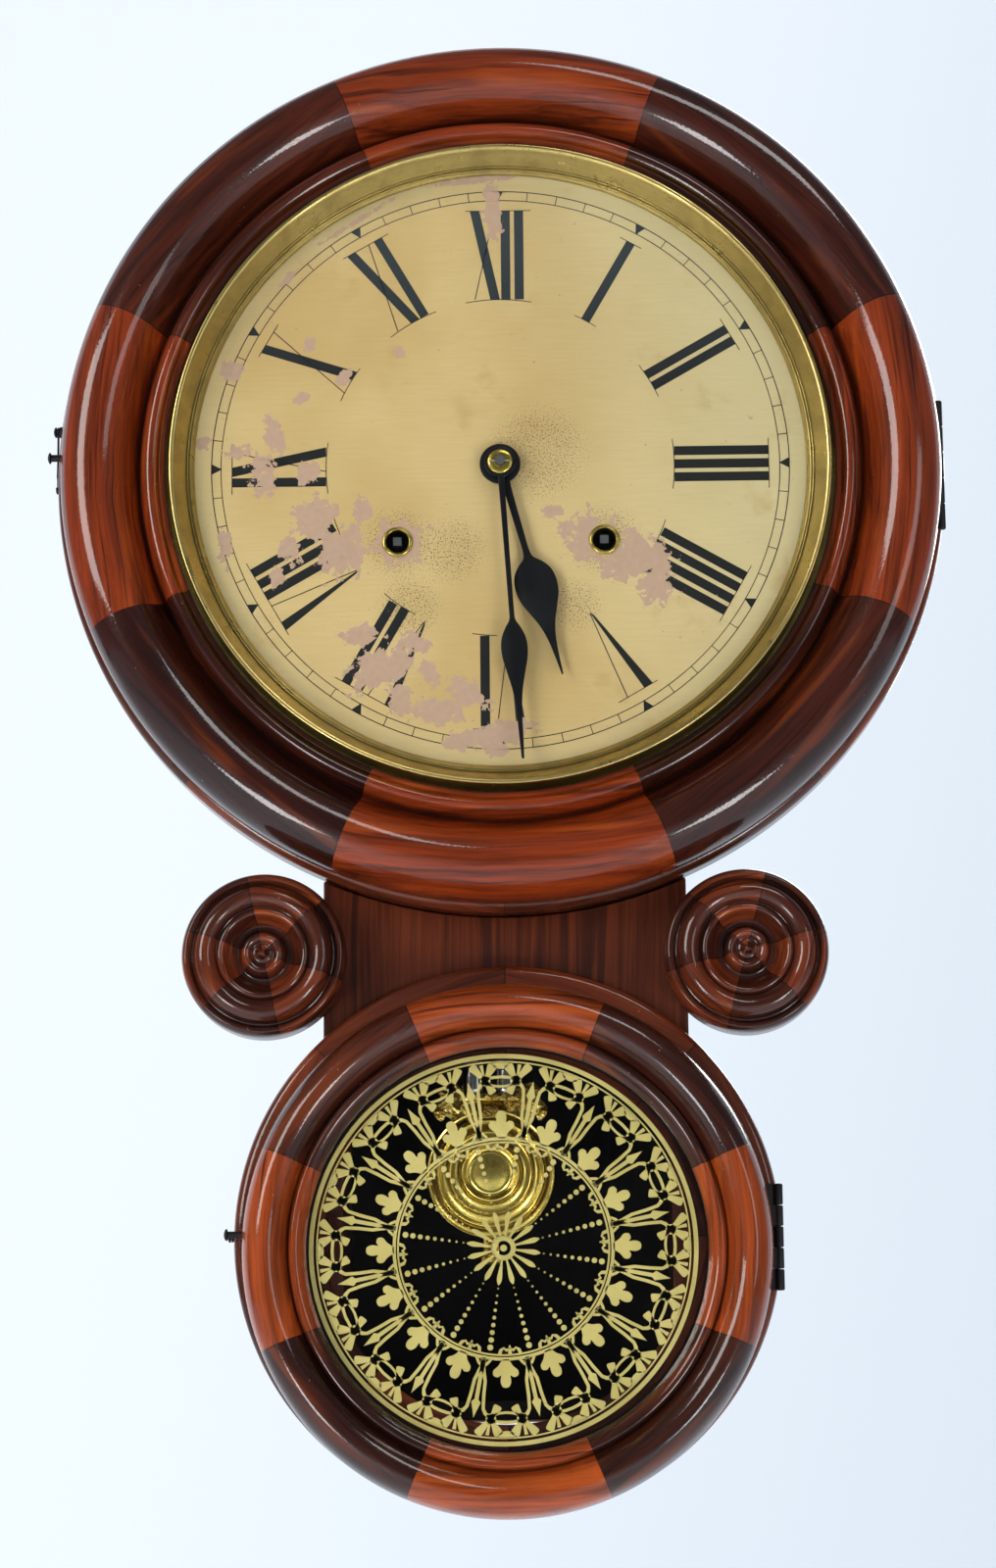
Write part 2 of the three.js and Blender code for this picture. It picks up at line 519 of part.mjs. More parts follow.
// ------------------------------------------------------------------ pendulum
put(
  "pendulum_rod",
  join(
    box(PEND_X - 1.6, PEND_X + 1.6, PEND_Y - 0.25, PEND_Y + 0.25, 47, PEND_Z + 7.4),
    rodZ(1.1, -157, 48, 12, PEND_X, PEND_Y),
    rodX(1.1, PEND_X - 3.4, PEND_X + 3.4, 12, PEND_Y, -156.6),
  ),
  M.steel,
);
{
  // a yoke that hooks on the rod, two straps, cross bars round the silvered cylinders,
  // pierced leaf plates, and a tail behind the bob with the lug of the rating nut
  const yoke = cut(box(-6.4, 6.4, -1.2, 1.2, -170, -152.6), rodX(1.3, -3.8, 3.8, 12, 0, -156.6), box(-3.8, 3.8, -2, 2, -158, -150), box(-1.5, 1.5, -2, 2, -160.4, -150));
  const cross = box(-11, 11, -1.5, 1.5, -169, -163.5);
  const straps = [box(-8.3, -5.1, -0.8, 0.8, -262, -164), box(5.1, 8.3, -0.8, 0.8, -262, -164)];
  const bars = [box(-12.4, 12.4, -1.7, 1.7, -243.6, -241), box(-12.4, 12.4, -1.7, 3.8, -261.6, -258.4)];
  const leaf = (s) =>
    plateXZ(poly([[3, -259.6], [12, -258.8], [12.6, -252.4], [15, -257], [20, -255.4], [19.4, -260.4], [24, -263], [20.4, -266.6], [23, -271.6], [17, -271], [15.4, -276], [11, -272.6], [3, -272]].map(([x, z]) => [s * x, z])), 3.8, 2.4);
  const tail = box(-3.2, 3.2, 2.4, 3.8, -324.4, -259);
  const lug = cut(box(-3.2, 3.2, -2.6, 3.8, -324.4, -322.2), rodZ(bore(1), -326, -320, 24));
  put("pendulum_frame", join(yoke, cross, ...straps, ...bars, leaf(1), leaf(-1), tail, lug), M.brass, [PEND_X, PEND_Y, 0]);
  for (const [side, s] of [["left", -1], ["right", 1]])
    put("pendulum_cylinder_" + side, cut(rodZ(4.6, -258.2, -243.8, 20, s * 6.9, 0), box(s * 6.7 - 1.9, s * 6.7 + 1.9, -1.1, 1.1, -260, -242)), M.silver, [PEND_X, PEND_Y, 0]);
  put(
    "pendulum_bob",
    turned([[0, -60], [24.2, -60], [BOB_R, -61.2], [BOB_R, -62.6], [23, -64.8], [21.6, -66.4], [16.9, -66.8], [11.6, -70], [0, -69.8]], 36, false),
    M.brass,
    [PEND_X, 0, BOB_Z],
  );
  put("rating_nut", join(rodZ(1, -328, -318.3, 16), rodZ(4.2, -328.4, -324.7, 20)), M.brass, [PEND_X, PEND_Y, 0]);
}

export default root;
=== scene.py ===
import math

import bmesh
import bpy
import numpy as np
from mathutils import Matrix, Vector

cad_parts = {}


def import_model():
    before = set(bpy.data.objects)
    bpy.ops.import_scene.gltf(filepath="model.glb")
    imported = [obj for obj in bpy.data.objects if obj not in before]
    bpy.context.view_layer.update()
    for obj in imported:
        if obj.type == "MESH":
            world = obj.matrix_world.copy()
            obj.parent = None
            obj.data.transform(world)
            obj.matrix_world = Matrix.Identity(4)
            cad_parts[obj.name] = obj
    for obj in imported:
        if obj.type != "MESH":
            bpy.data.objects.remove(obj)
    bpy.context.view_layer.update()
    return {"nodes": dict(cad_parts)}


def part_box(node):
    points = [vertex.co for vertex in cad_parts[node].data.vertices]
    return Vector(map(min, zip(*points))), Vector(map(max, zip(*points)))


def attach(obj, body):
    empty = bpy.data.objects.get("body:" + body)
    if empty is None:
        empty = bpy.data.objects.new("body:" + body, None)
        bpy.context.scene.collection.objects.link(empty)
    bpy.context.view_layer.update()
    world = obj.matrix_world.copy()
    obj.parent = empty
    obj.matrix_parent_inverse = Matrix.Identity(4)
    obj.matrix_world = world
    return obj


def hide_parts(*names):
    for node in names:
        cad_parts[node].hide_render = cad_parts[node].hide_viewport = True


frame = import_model()
nodes = frame["nodes"]
MM = 0.001
PI = math.pi

# ------------------------------------------------------------------ the object's sizes, in mm
DIAL_Y = -100.0
LOW_Z = -324.0  # middle of the lower door
LOW_BASE_Z = -319.5
ROUNDEL_X, ROUNDEL_Z = 98.6, -204.0
PEND_X, PEND_Y, PEND_TOP = -7.0, -62.0, 60.0
BOB_Z = -291.5
WIND = ((-43.0, -32.3), (43.0, -32.3))


# ------------------------------------------------------------------ materials
def lin(r, g, b, a=1.0):
    def one(c):
        c = c / 255.0
        return c / 12.92 if c <= 0.04045 else ((c + 0.055) / 1.055) ** 2.4

    return (one(r), one(g), one(b), a)


class Mat:
    """A Principled material with short calls for its nodes."""

    def __init__(self, name, **inputs):
        self.m = bpy.data.materials.new(name)
        self.m.use_nodes = True
        self.nt = self.m.node_tree
        self.nt.nodes.clear()
        self.out = self.nt.nodes.new("ShaderNodeOutputMaterial")
        self.bsdf = self.nt.nodes.new("ShaderNodeBsdfPrincipled")
        self.nt.links.new(self.bsdf.outputs[0], self.out.inputs[0])
        for k, v in inputs.items():
            self.set(self.bsdf, k, v)

    def put(self, socket, value):
        if isinstance(value, bpy.types.NodeSocket):
            self.nt.links.new(value, socket)
        elif value is not None:
            if socket.type == "RGBA" and len(value) == 3:
                value = (*value, 1.0)
            socket.default_value = value

    def set(self, node, key, value):
        self.put(node.inputs[key], value)

    def bs(self, key, value):
        self.put(self.bsdf.inputs[key], value)

    def node(self, kind, **attrs):
        n = self.nt.nodes.new(kind)
        for k, v in attrs.items():
            setattr(n, k, v)
        return n

    def math(self, op, a, b=None, c=None, clamp=False):
        n = self.node("ShaderNodeMath", operation=op, use_clamp=clamp)
        for i, v in enumerate((a, b, c)):
            if v is not None:
                self.put(n.inputs[i], v)
        return n.outputs[0]

    def add(self, a, b):
        return self.math("ADD", a, b)

    def sub(self, a, b):
        return self.math("SUBTRACT", a, b)

    def mul(self, a, b):
        return self.math("MULTIPLY", a, b)

    def xyz(self, x, y, z):
        n = self.node("ShaderNodeCombineXYZ")
        for i, v in enumerate((x, y, z)):
            self.put(n.inputs[i], v)
        return n.outputs[0]

    def sep(self, v):
        n = self.node("ShaderNodeSeparateXYZ")
        self.put(n.inputs[0], v)
        return n.outputs[0], n.outputs[1], n.outputs[2]

    def pos(self):
        if not hasattr(self, "_pos"):
            self._pos = self.sep(self.node("ShaderNodeTexCoord").outputs["Object"])
        return self._pos

    def vec(self, sx=1.0, sy=1.0, sz=1.0, ox=0.0, oy=0.0, oz=0.0):
        x, y, z = self.pos()
        return self.xyz(self.math("MULTIPLY_ADD", x, sx, ox), self.math("MULTIPLY_ADD", y, sy, oy), self.math("MULTIPLY_ADD", z, sz, oz))

    def noise(self, v, scale=1.0, detail=3.0, rough=0.5, dist=0.0):
        n = self.node("ShaderNodeTexNoise")
        self.put(n.inputs["Vector"], v)
        n.inputs["Scale"].default_value = scale
        n.inputs["Detail"].default_value = detail
        n.inputs["Roughness"].default_value = rough
        n.inputs["Distortion"].default_value = dist
        return n.outputs[0]

    def voro(self, v, scale=1.0, feature="F1", rand=1.0):
        n = self.node("ShaderNodeTexVoronoi", feature=feature)
        self.put(n.inputs["Vector"], v)
        n.inputs["Scale"].default_value = scale
        n.inputs["Randomness"].default_value = rand
        return n.outputs[0]

    def white(self, w):
        n = self.node("ShaderNodeTexWhiteNoise", noise_dimensions="1D")
        self.put(n.inputs["W"], w)
        return n.outputs[0]

    def step(self, x, lo, hi, a=0.0, b=1.0):
        n = self.node("ShaderNodeMapRange", interpolation_type="SMOOTHSTEP")
        self.put(n.inputs[0], x)
        for i, v in enumerate((lo, hi, a, b)):
            self.put(n.inputs[i + 1], v)
        return n.outputs[0]

    def lerp(self, x, lo, hi, a=0.0, b=1.0):
        n = self.node("ShaderNodeMapRange")
        self.put(n.inputs[0], x)
        for i, v in enumerate((lo, hi, a, b)):
            self.put(n.inputs[i + 1], v)
        return n.outputs[0]

    def ramp(self, fac, stops, interp="LINEAR"):
        n = self.node("ShaderNodeValToRGB")
        n.color_ramp.interpolation = interp
        e = n.color_ramp.elements
        while len(e) < len(stops):
            e.new(0.5)
        for el, (p, c) in zip(e, stops):
            el.position = p
            el.color = c if len(c) == 4 else (*c, 1.0)
        self.put(n.inputs[0], fac)
        return n.outputs[0]

    def mix(self, fac, a, b, blend="MIX"):
        n = self.node("ShaderNodeMix", data_type="RGBA", blend_type=blend)
        self.put(n.inputs[0], fac)
        self.put(n.inputs[6], a)
        self.put(n.inputs[7], b)
        return n.outputs[2]

    def shade(self, colour, amount):
        """colour times a number socket"""
        return self.mix(1.0, colour, self.xyz(amount, amount, amount), "MULTIPLY")

    def bump(self, height, strength=0.2, distance=0.0005, normal=None):
        n = self.node("ShaderNodeBump")
        n.inputs["Strength"].default_value = strength
        n.inputs["Distance"].default_value = distance
        self.put(n.inputs["Height"], height)
        if normal is not None:
            self.put(n.inputs["Normal"], normal)
        return n.outputs[0]


LIGHT_WOOD, DARK_WOOD = lin(116, 41, 9), lin(48, 15, 7)


def lacquer(m, fine, rough=0.3, coat=0.9, coat_rough=0.07):
    """A worn glossy coat over wood: fine pores and a slightly uneven film."""
    x, y, z = m.pos()
    film = m.noise(m.vec(), 900.0, 2.0, 0.5)
    pits = m.voro(m.vec(), 1500.0)
    n1 = m.bump(film, 0.07, 0.0004)
    n2 = m.bump(m.step(pits, 0.05, 0.3), 0.10, 0.0002, n1)
    m.bs("Coat Normal", n2)
    m.bs("Normal", m.bump(fine, 0.25, 0.0002))
    m.bs("Roughness", rough)
    m.bs("Coat Weight", coat)
    m.bs("Coat Roughness", coat_rough)
    m.bs("Coat IOR", 1.5)


def segmented_wood(name, cx, cz, count=8, turn=0.5, mean_r=0.165, light=LIGHT_WOOD, dark=DARK_WOOD, parity=0.0, groove_dirt_and_shade=(), contrast=1.0, across=1.0, joints=1.0):
    """Wood segments glued in a ring about (cx, cz), with grain along each segment. Lengths in metres."""
    m = Mat(name)
    x, y, z = m.pos()
    dx, dz = m.sub(x, cx), m.sub(z, cz)
    a = m.math("ARCTAN2", dx, dz)
    r = m.math("SQRT", m.add(m.mul(dx, dx), m.mul(dz, dz)))
    f = m.math("MULTIPLY_ADD", a, count / (2 * PI), turn)
    idx = m.math("FLOOR", f)
    fr = m.sub(f, idx)
    idw = m.math("MODULO", m.add(idx, 4.0 * count), float(count))
    la = m.mul(m.sub(fr, 0.5), 2 * PI / count)
    odd = m.math("MODULO", m.add(idw, parity), 2.0)
    rnd = m.white(m.add(idw, 0.37))
    rnd2 = m.white(m.add(idw, 11.7))
    # straight grain in each segment, bent a little along the ring
    u = m.mul(la, mean_r)
    v = m.mul(r, m.math("COSINE", m.mul(la, 0.75)))
    v = m.add(v, m.mul(m.noise(m.xyz(m.mul(u, 18.0), m.mul(v, 25.0), m.mul(idw, 3.1)), 1.0, 2.0), 0.006))
    off = m.mul(rnd, 37.0)
    wide = m.noise(m.xyz(m.add(m.mul(u, 9.0), off), m.mul(v, 190.0 * across), m.mul(y, 60.0)), 1.0, 3.0, 0.55, 0.3)
    streak = m.noise(m.xyz(m.add(m.mul(u, 22.0), off), m.mul(v, 760.0 * across), m.mul(y, 420.0)), 1.0, 4.0, 0.6, 0.4)
    fine = m.noise(m.xyz(m.add(m.mul(u, 70.0), off), m.mul(v, 2600.0 * across), m.mul(y, 1700.0)), 1.0, 3.0, 0.6)
    base = m.mix(odd, light, dark)
    base = m.mix(m.step(rnd2, 0.2, 0.9, 0.0, 0.3), base, lin(98, 42, 20))
    # dark figure and bright orange bands
    t = m.add(m.mul(wide, 0.62), m.mul(streak, 0.38))
    low, high = 1.0 - 0.62 * contrast, 1.0 + 0.55 * contrast
    tone = m.lerp(t, 0.36, 0.64, low, high)
    col = m.shade(base, tone)
    # painted shade: the dark segments are darker towards the bottom of the ring
    col = m.shade(col, m.math("MULTIPLY_ADD", m.mul(odd, m.step(m.mul(m.math("COSINE", a), -1.0), -0.2, 0.8)), -0.3, 1.0))
    figure = m.step(m.noise(m.xyz(m.add(m.mul(u, 7.0), m.mul(rnd, 91.0)), m.mul(v, 330.0 * across), m.mul(y, 50.0)), 1.0, 4.0, 0.62, 0.8), 0.55, 0.68)
    col = m.mix(m.mul(figure, 0.8 * contrast), col, lin(30, 9, 6))
    warm = m.step(m.noise(m.xyz(m.add(m.mul(u, 12.0), m.mul(rnd, 53.0)), m.mul(v, 130.0 * across), m.mul(y, 30.0)), 1.0, 2.0), 0.56, 0.74)
    col = m.mix(m.mul(warm, m.math("MULTIPLY_ADD", odd, -0.3, 0.5)), col, lin(168, 76, 22))
    pores = m.step(fine, 0.60, 0.74)
    col = m.mix(m.mul(pores, 0.6), col, lin(22, 8, 6))
    # the joint lines
    edge = m.mul(m.mul(m.math("MINIMUM", fr, m.sub(1.0, fr)), 2 * PI / count), r)
    joint = m.step(edge, 0.00010, 0.00042, 1.0, 0.0)
    col = m.mix(m.mul(joint, 0.8 * joints), col, lin(24, 8, 6))
    # dirt and painted shade darkening the quirks of the moulding
    for rc, w, amount in groove_dirt_and_shade:
        g = m.step(m.math("ABSOLUTE", m.sub(r, rc)), 0.0, w, amount, 0.0)
        col = m.mix(g, col, lin(20, 7, 6))
    # old scratches and small dents, paler than the wood
    sc = m.noise(m.vec(60.0, 60.0, 60.0, 3.0), 1.0, 1.0)
    line = m.voro(m.xyz(m.mul(m.add(dx, m.mul(dz, 0.6)), 420.0), m.mul(y, 300.0), m.mul(m.sub(dz, m.mul(dx, 0.5)), 110.0)), 1.0)
    scratch = m.mul(m.step(line, 0.035, 0.075, 1.0, 0.0), m.step(sc, 0.56, 0.64))
    col = m.mix(m.mul(scratch, 0.75), col, lin(190, 140, 110))
    m.bs("Base Color", col)
    lacquer(m, m.add(fine, m.mul(joint, -1.5)), rough=0.5, coat=0.75, coat_rough=0.05)
    m.bs("Specular IOR Level", 0.06)
    return m.m


def plain_wood(name, base, axis="z", dark=0.5, bright=1.35, gloss=0.5, coat=0.0, scale=1.0, figure=0.5, figure_col=lin(24, 9, 6), inside=None):
    """Straight-grained wood with its grain along one axis."""
    m = Mat(name)
    s = {"x": (14.0, 500.0, 500.0), "z": (500.0, 500.0, 14.0), "y": (500.0, 14.0, 500.0)}[axis]
    s = [k * scale for k in s]
    wob = m.mul(m.sub(m.noise(m.vec(12, 12, 6), 1.0, 2.0), 0.5), 6.0)
    x, y, z = m.pos()
    if axis == "z":
        v1 = m.xyz(m.math("MULTIPLY_ADD", x, s[0], wob), m.mul(y, s[1]), m.mul(z, s[2]))
    elif axis == "x":
        v1 = m.xyz(m.mul(x, s[0]), m.mul(y, s[1]), m.math("MULTIPLY_ADD", z, s[2], wob))
    else:
        v1 = m.xyz(m.math("MULTIPLY_ADD", x, s[0], wob), m.mul(y, s[1]), m.mul(z, s[2]))
    a = m.noise(v1, 1.0, 4.0, 0.62, 0.3)
    b = m.noise(v1, 0.22, 3.0, 0.5, 0.6)
    c = m.noise(v1, 4.0, 3.0, 0.6)
    t = m.add(m.mul(a, 0.5), m.mul(b, 0.5))
    col = m.shade(m.mix(m.mul(b, 0.15), base, figure_col), m.lerp(t, 0.36, 0.64, dark, bright))
    col = m.mix(m.mul(m.step(b, 0.56, 0.68), figure), col, figure_col)
    col = m.mix(m.mul(m.step(c, 0.60, 0.75), 0.5), col, figure_col)
    if inside:
        # the inside of the case is coloured nearly black
        within = m.step(m.math("ABSOLUTE", x), inside[0] + 0.0001, inside[0] + 0.0004, 1.0, 0.0) if inside[0] else m.step(m.mul(y, -1.0), inside[1] + 0.0006, inside[1] + 0.0012)
        if len(inside) > 2:
            # faces that look up and down the wall outside the case keep the bare wood
            within = m.mul(within, m.mul(m.step(z, inside[2] + 0.0003, inside[2] + 0.0007), m.step(m.mul(z, -1.0), 0.0003 - inside[3], 0.0007 - inside[3])))
        col = m.mix(within, col, m.mix(a, lin(14, 12, 11), lin(26, 20, 16)))
    m.bs("Base Color", col)
    m.bs("Normal", m.bump(m.add(c, a), 0.35, 0.0003))
    m.bs("Specular IOR Level", 0.12)
    m.bs("Roughness", m.lerp(a, 0.3, 0.7, gloss - 0.08, gloss + 0.1))
    m.bs("Coat Weight", coat)
    m.bs("Coat Roughness", 0.12)
    if coat:
        m.bs("Coat Normal", m.bump(m.noise(m.vec(), 700.0, 2.0), 0.12, 0.0004))
    return m.m


def turned_brass(name, cx, cz, col=lin(178, 160, 70), rough=0.2, patina=0.35, tarnish=lin(92, 78, 36), lines=1.0):
    """Brass turned on a lathe about (cx, cz), with tarnish."""
    m = Mat(name, Metallic=1.0)
    x, y, z = m.pos()
    dx, dz = m.sub(x, cx), m.sub(z, cz)
    r = m.math("SQRT", m.add(m.mul(dx, dx), m.mul(dz, dz)))
    rings = m.noise(m.xyz(m.mul(r, 5200.0), m.mul(y, 3800.0), m.mul(dx, 14.0)), 1.0, 3.0, 0.6)
    blot = m.noise(m.vec(55, 55, 55), 1.0, 4.0, 0.6, 0.4)
    spots = m.noise(m.vec(700, 700, 700), 1.0, 2.0, 0.5)
    c = m.mix(m.mul(m.step(blot, 0.42, 0.68), patina), col, tarnish)
    c = m.mix(m.mul(m.step(spots, 0.66, 0.74), 0.35), c, lin(60, 48, 24))
    c = m.shade(c, m.lerp(rings, 0.3, 0.7, 0.9, 1.08))
    m.bs("Base Color", c)
    m.bs("Roughness", m.math("ADD", m.lerp(blot, 0.3, 0.7, rough - 0.05, rough + 0.12), m.mul(rings, 0.05)))
    m.bs("Normal", m.bump(rings, 0.06 * lines, 0.0003))
    return m.m


def cast_metal(name, col, rough, metallic=1.0, grain=1400.0, strength=0.12, blot=0.3, dirt=lin(20, 16, 12)):
    m = Mat(name, Metallic=metallic)
    n1 = m.noise(m.vec(), grain, 3.0, 0.6)
    n2 = m.noise(m.vec(), 60.0, 4.0, 0.6, 0.3)
    c = m.mix(m.mul(m.step(n2, 0.45, 0.7), blot), col, dirt)
    m.bs("Base Color", m.shade(c, m.lerp(n1, 0.3, 0.7, 0.88, 1.1)))
    m.bs("Roughness", m.lerp(n2, 0.3, 0.7, rough - 0.06, rough + 0.12))
    m.bs("Normal", m.bump(n1, strength, 0.0003))
    return m.m


# places on the dial where the paint has come away: centre x, z, half sizes and turn, in mm
WORN = (
    (-2.5, 112, 3.4, 13, 4), (-8, 126, 20, 1.6, 6), (-60, 108, 14, 1.2, 33), (-88, 84, 5, 1.3, 46),
    (-113, 43, 5, 4, 0), (-124, 12, 4, 3, 0), (-110, 8, 5, 3, 0), (-94, 14, 4, 8, 20), (-98, -3, 6, 8, 0), (-80, -2, 5, 5, 0),
    (-78, -22, 9, 9, 10), (-66, -36, 8, 12, -20), (-88, -34, 4, 7, 10), (-114, -34, 3.5, 7, 5), (-93, -46, 3, 5, 0), (-58, -19, 4, 5, 0),
    (-50, -86, 16, 7, 25), (-58, -72, 8, 4, 0), (-36, -75, 6, 5, -30), (-30, -88, 3, 7, 25), (-27, -104, 12, 5, -10), (-14, -97, 9, 5, -30), (-42, -100, 5, 8, 20),
    (-8, -116, 15, 4.5, 5), (-2, -121, 5, 3, 0), (4, -112, 9, 4, 0),
    (-43, -33, 11, 9, 0), (38, -31, 11, 10, 0), (58, -38, 12, 8, -25), (64, -52, 8, 8, -20), (50, -44, 8, 7, 0),
    (-66, 38, 5, 2.4, 60), (-42, 50, 2.2, 2.2, 0), (-84, 30, 4, 2, 30), (22, -20, 4, 3, 0), (-80, 54, 2, 3, 0),
)


def worn_mask(m):
    """1 where the dial's paint is gone, from a few soft ellipses broken up by noise."""
    x, y, z = m.pos()
    total = None
    for cx, cz, ra, rb, deg in WORN:
        c, s = math.cos(math.radians(deg)), math.sin(math.radians(deg))
        dx, dz = m.sub(x, cx * MM), m.sub(z, cz * MM)
        p = m.mul(m.add(m.mul(dx, c), m.mul(dz, s)), 1.0 / (1.15 * ra * MM))
        q = m.mul(m.sub(m.mul(dz, c), m.mul(dx, s)), 1.0 / (1.15 * rb * MM))
        d = m.math("SQRT", m.add(m.mul(p, p), m.mul(q, q)))
        v = m.lerp(d, 0.35, 1.55, 1.0, 0.0)
        total = v if total is None else m.math("MAXIMUM", total, v)
    n = m.noise(m.vec(130, 130, 130), 1.0, 5.0, 0.62, 0.5)
    n2 = m.noise(m.vec(600, 600, 600), 1.0, 3.0, 0.5)
    n3 = m.noise(m.vec(330, 330, 330, 2), 1.0, 4.0, 0.6, 0.3)
    v = m.add(total, m.mul(m.sub(n, 0.5), 2.2))
    v = m.add(v, m.mul(m.sub(n3, 0.5), 1.5))
    v = m.add(v, m.mul(m.sub(n2, 0.5), 0.5))
    return m.step(v, 0.56, 0.59)


def dial_paint():
    m = Mat("dial_paint_mat")
    x, y, z = m.pos()
    r = m.math("SQRT", m.add(m.mul(x, x), m.mul(z, z)))
    warm = m.noise(m.vec(14, 14, 14), 1.0, 3.0, 0.5)
    col = m.mix(m.step(warm, 0.35, 0.65), lin(210, 184, 128), lin(198, 168, 110))
    # paler towards the right and the rim
    col = m.mix(m.step(m.add(x, m.mul(z, 0.25)), -0.01, 0.13, 0.0, 0.62), col, lin(208, 200, 158))
    col = m.mix(m.step(r, 0.112, 0.131, 0.0, 0.5), col, lin(202, 190, 146))
    streak = m.noise(m.vec(60, 60, 900), 1.0, 3.0, 0.55)
    col = m.shade(col, m.lerp(streak, 0.3, 0.7, 0.965, 1.03))
    blot = m.noise(m.vec(45, 45, 45, 5), 1.0, 4.0, 0.6, 0.2)
    col = m.mix(m.step(blot, 0.58, 0.76, 0.0, 0.4), col, lin(176, 140, 84))
    # soot round the winding holes and the hub
    for cx, cz, rr, amt in ((-43, -32.3, 16, 0.4), (43, -32.3, 16, 0.35), (-20, -36, 15, 0.25), (16, 6, 22, 0.25), (-38, -60, 14, 0.2), (30, -60, 12, 0.2)):
        dx, dz = m.sub(x, cx * MM), m.sub(z, cz * MM)
        d = m.math("SQRT", m.add(m.mul(dx, dx), m.mul(dz, dz)))
        g = m.mul(m.step(d, 0.3 * rr * MM, rr * MM, 1.0, 0.0), amt)
        col = m.mix(m.mul(g, m.noise(m.vec(90, 90, 90), 1.0, 3.0)), col, lin(140, 104, 60))
        sp = m.noise(m.vec(1500, 1500, 1500), 1.0, 2.0, 0.5)
        col = m.mix(m.mul(m.mul(m.step(d, 0.5 * rr * MM, 1.2 * rr * MM, 1.0, 0.0), m.step(sp, 0.56, 0.62)), 0.85), col, lin(58, 50, 30))
    fleck = m.step(m.noise(m.vec(520, 520, 520, 9), 1.0, 2.0, 0.5), 0.71, 0.75)
    col = m.mix(m.mul(fleck, 0.55), col, lin(120, 100, 60))
    worn = worn_mask(m)
    bare = m.mix(m.noise(m.vec(400, 400, 400), 1.0, 4.0), lin(196, 165, 142), lin(180, 148, 124))
    col = m.mix(worn, col, bare)
    m.bs("Base Color", col)
    m.bs("Roughness", m.lerp(worn, 0.0, 1.0, 0.42, 0.75))
    h = m.add(m.mul(worn, -1.0), m.mul(m.noise(m.vec(1800, 1800, 1800), 1.0, 3.0), 0.12))
    m.bs("Normal", m.bump(h, 0.5, 0.00012))
    m.bs("Specular IOR Level", 0.4)
    return m.m


def dial_ink():
    m = Mat("dial_ink_mat")
    x, y, z = m.pos()
    worn = worn_mask(m)
    # painted glints: small grey flecks on the ink
    ink_glint = m.step(m.noise(m.vec(900, 900, 900), 1.0, 3.0, 0.6), 0.66, 0.74)
    # the ink looks greyer where it mirrors the sky, near the top
    ink = m.mix(m.step(z, 0.02, 0.11), lin(26, 28, 27), lin(52, 60, 64))
    ink = m.mix(m.mul(ink_glint, 0.35), ink, lin(120, 120, 110))
    bare = m.mix(m.noise(m.vec(400, 400, 400), 1.0, 4.0), lin(196, 165, 142), lin(180, 148, 124))
    m.bs("Base Color", m.mix(worn, ink, bare))
    m.bs("Roughness", m.lerp(worn, 0.0, 1.0, 0.38, 0.75))
    m.bs("Normal", m.bump(m.noise(m.vec(1500, 1500, 1500), 1.0, 3.0), 0.3, 0.0001))
    return m.m


def leaf_brass():
    """stamped foil with veins and crumples; its colour holds painted highlights on the crests of the crumples and
    painted shade in their hollows
    """
    m = Mat("brass_leaf", Metallic=1.0)
    crumple_and_glint = m.noise(m.vec(260, 260, 260), 1.0, 4.0, 0.65, 1.2)
    vein = m.voro(m.vec(420, 200, 420), 1.0, "F1")
    # painted highlights and shade: dark brown in the hollows to near white on the crests
    c = m.ramp(crumple_and_glint, [(0.30, lin(66, 54, 22)), (0.46, lin(176, 142, 54)), (0.62, lin(238, 212, 122)), (0.8, lin(250, 236, 176))])
    m.bs("Base Color", c)
    m.bs("Roughness", m.lerp(crumple_and_glint, 0.3, 0.7, 0.3, 0.1))
    m.bs("Normal", m.bump(m.add(m.mul(crumple_and_glint, 1.2), m.mul(vein, 0.5)), 0.55, 0.0012))
    return m.m


def gilding():
    """flat gold size paint, a little uneven, seen through the pane"""
    m = Mat("gilt_mat", Metallic=0.0)
    n = m.noise(m.vec(1100, 1100, 1100), 1.0, 3.0, 0.6)
    n2 = m.noise(m.vec(40, 40, 40), 1.0, 3.0, 0.5)
    c = m.mix(m.step(n2, 0.35, 0.65), lin(206, 190, 118), lin(192, 176, 104))
    c = m.mix(m.mul(m.step(n, 0.62, 0.72), 0.3), c, lin(120, 104, 56))
    m.bs("Base Color", c)
    m.bs("Roughness", 0.6)
    m.bs("Specular IOR Level", 0.2)
    m.bs("Normal", m.bump(n, 0.15, 0.0001))
    return m.m


def pane(name, tint=(1.0, 1.0, 1.0, 1.0), rough=0.03, strength=1.0, dust=0.0):
    """A clean old pane: what is behind it shows, and it mirrors what is in front."""
    m = Mat(name)
    m.nt.nodes.remove(m.bsdf)
    tr = m.node("ShaderNodeBsdfTransparent")
    tr.inputs[0].default_value = tint
    gl = m.node("ShaderNodeBsdfGlossy")
    gl.inputs["Color"].default_value = (1, 1, 1, 1)
    m.put(gl.inputs["Roughness"], rough)
    m.put(gl.inputs["Normal"], m.bump(m.noise(m.vec(9, 9, 9), 1.0, 2.0), 0.05, 0.002))
    fr = m.node("ShaderNodeFresnel")
    fr.inputs[0].default_value = 1.33
    fac = m.mul(fr.outputs[0], strength)
    if dust:
        fac = m.add(fac, m.mul(m.step(m.noise(m.vec(35, 35, 35), 1.0, 5.0, 0.65), 0.5, 0.75), dust))
    mx = m.node("ShaderNodeMixShader")
    m.nt.links.new(fac, mx.inputs[0])
    m.nt.links.new(tr.outputs[0], mx.inputs[1])
    m.nt.links.new(gl.outputs[0], mx.inputs[2])
    m.nt.links.new(mx.outputs[0], m.out.inputs[0])
    return m.m


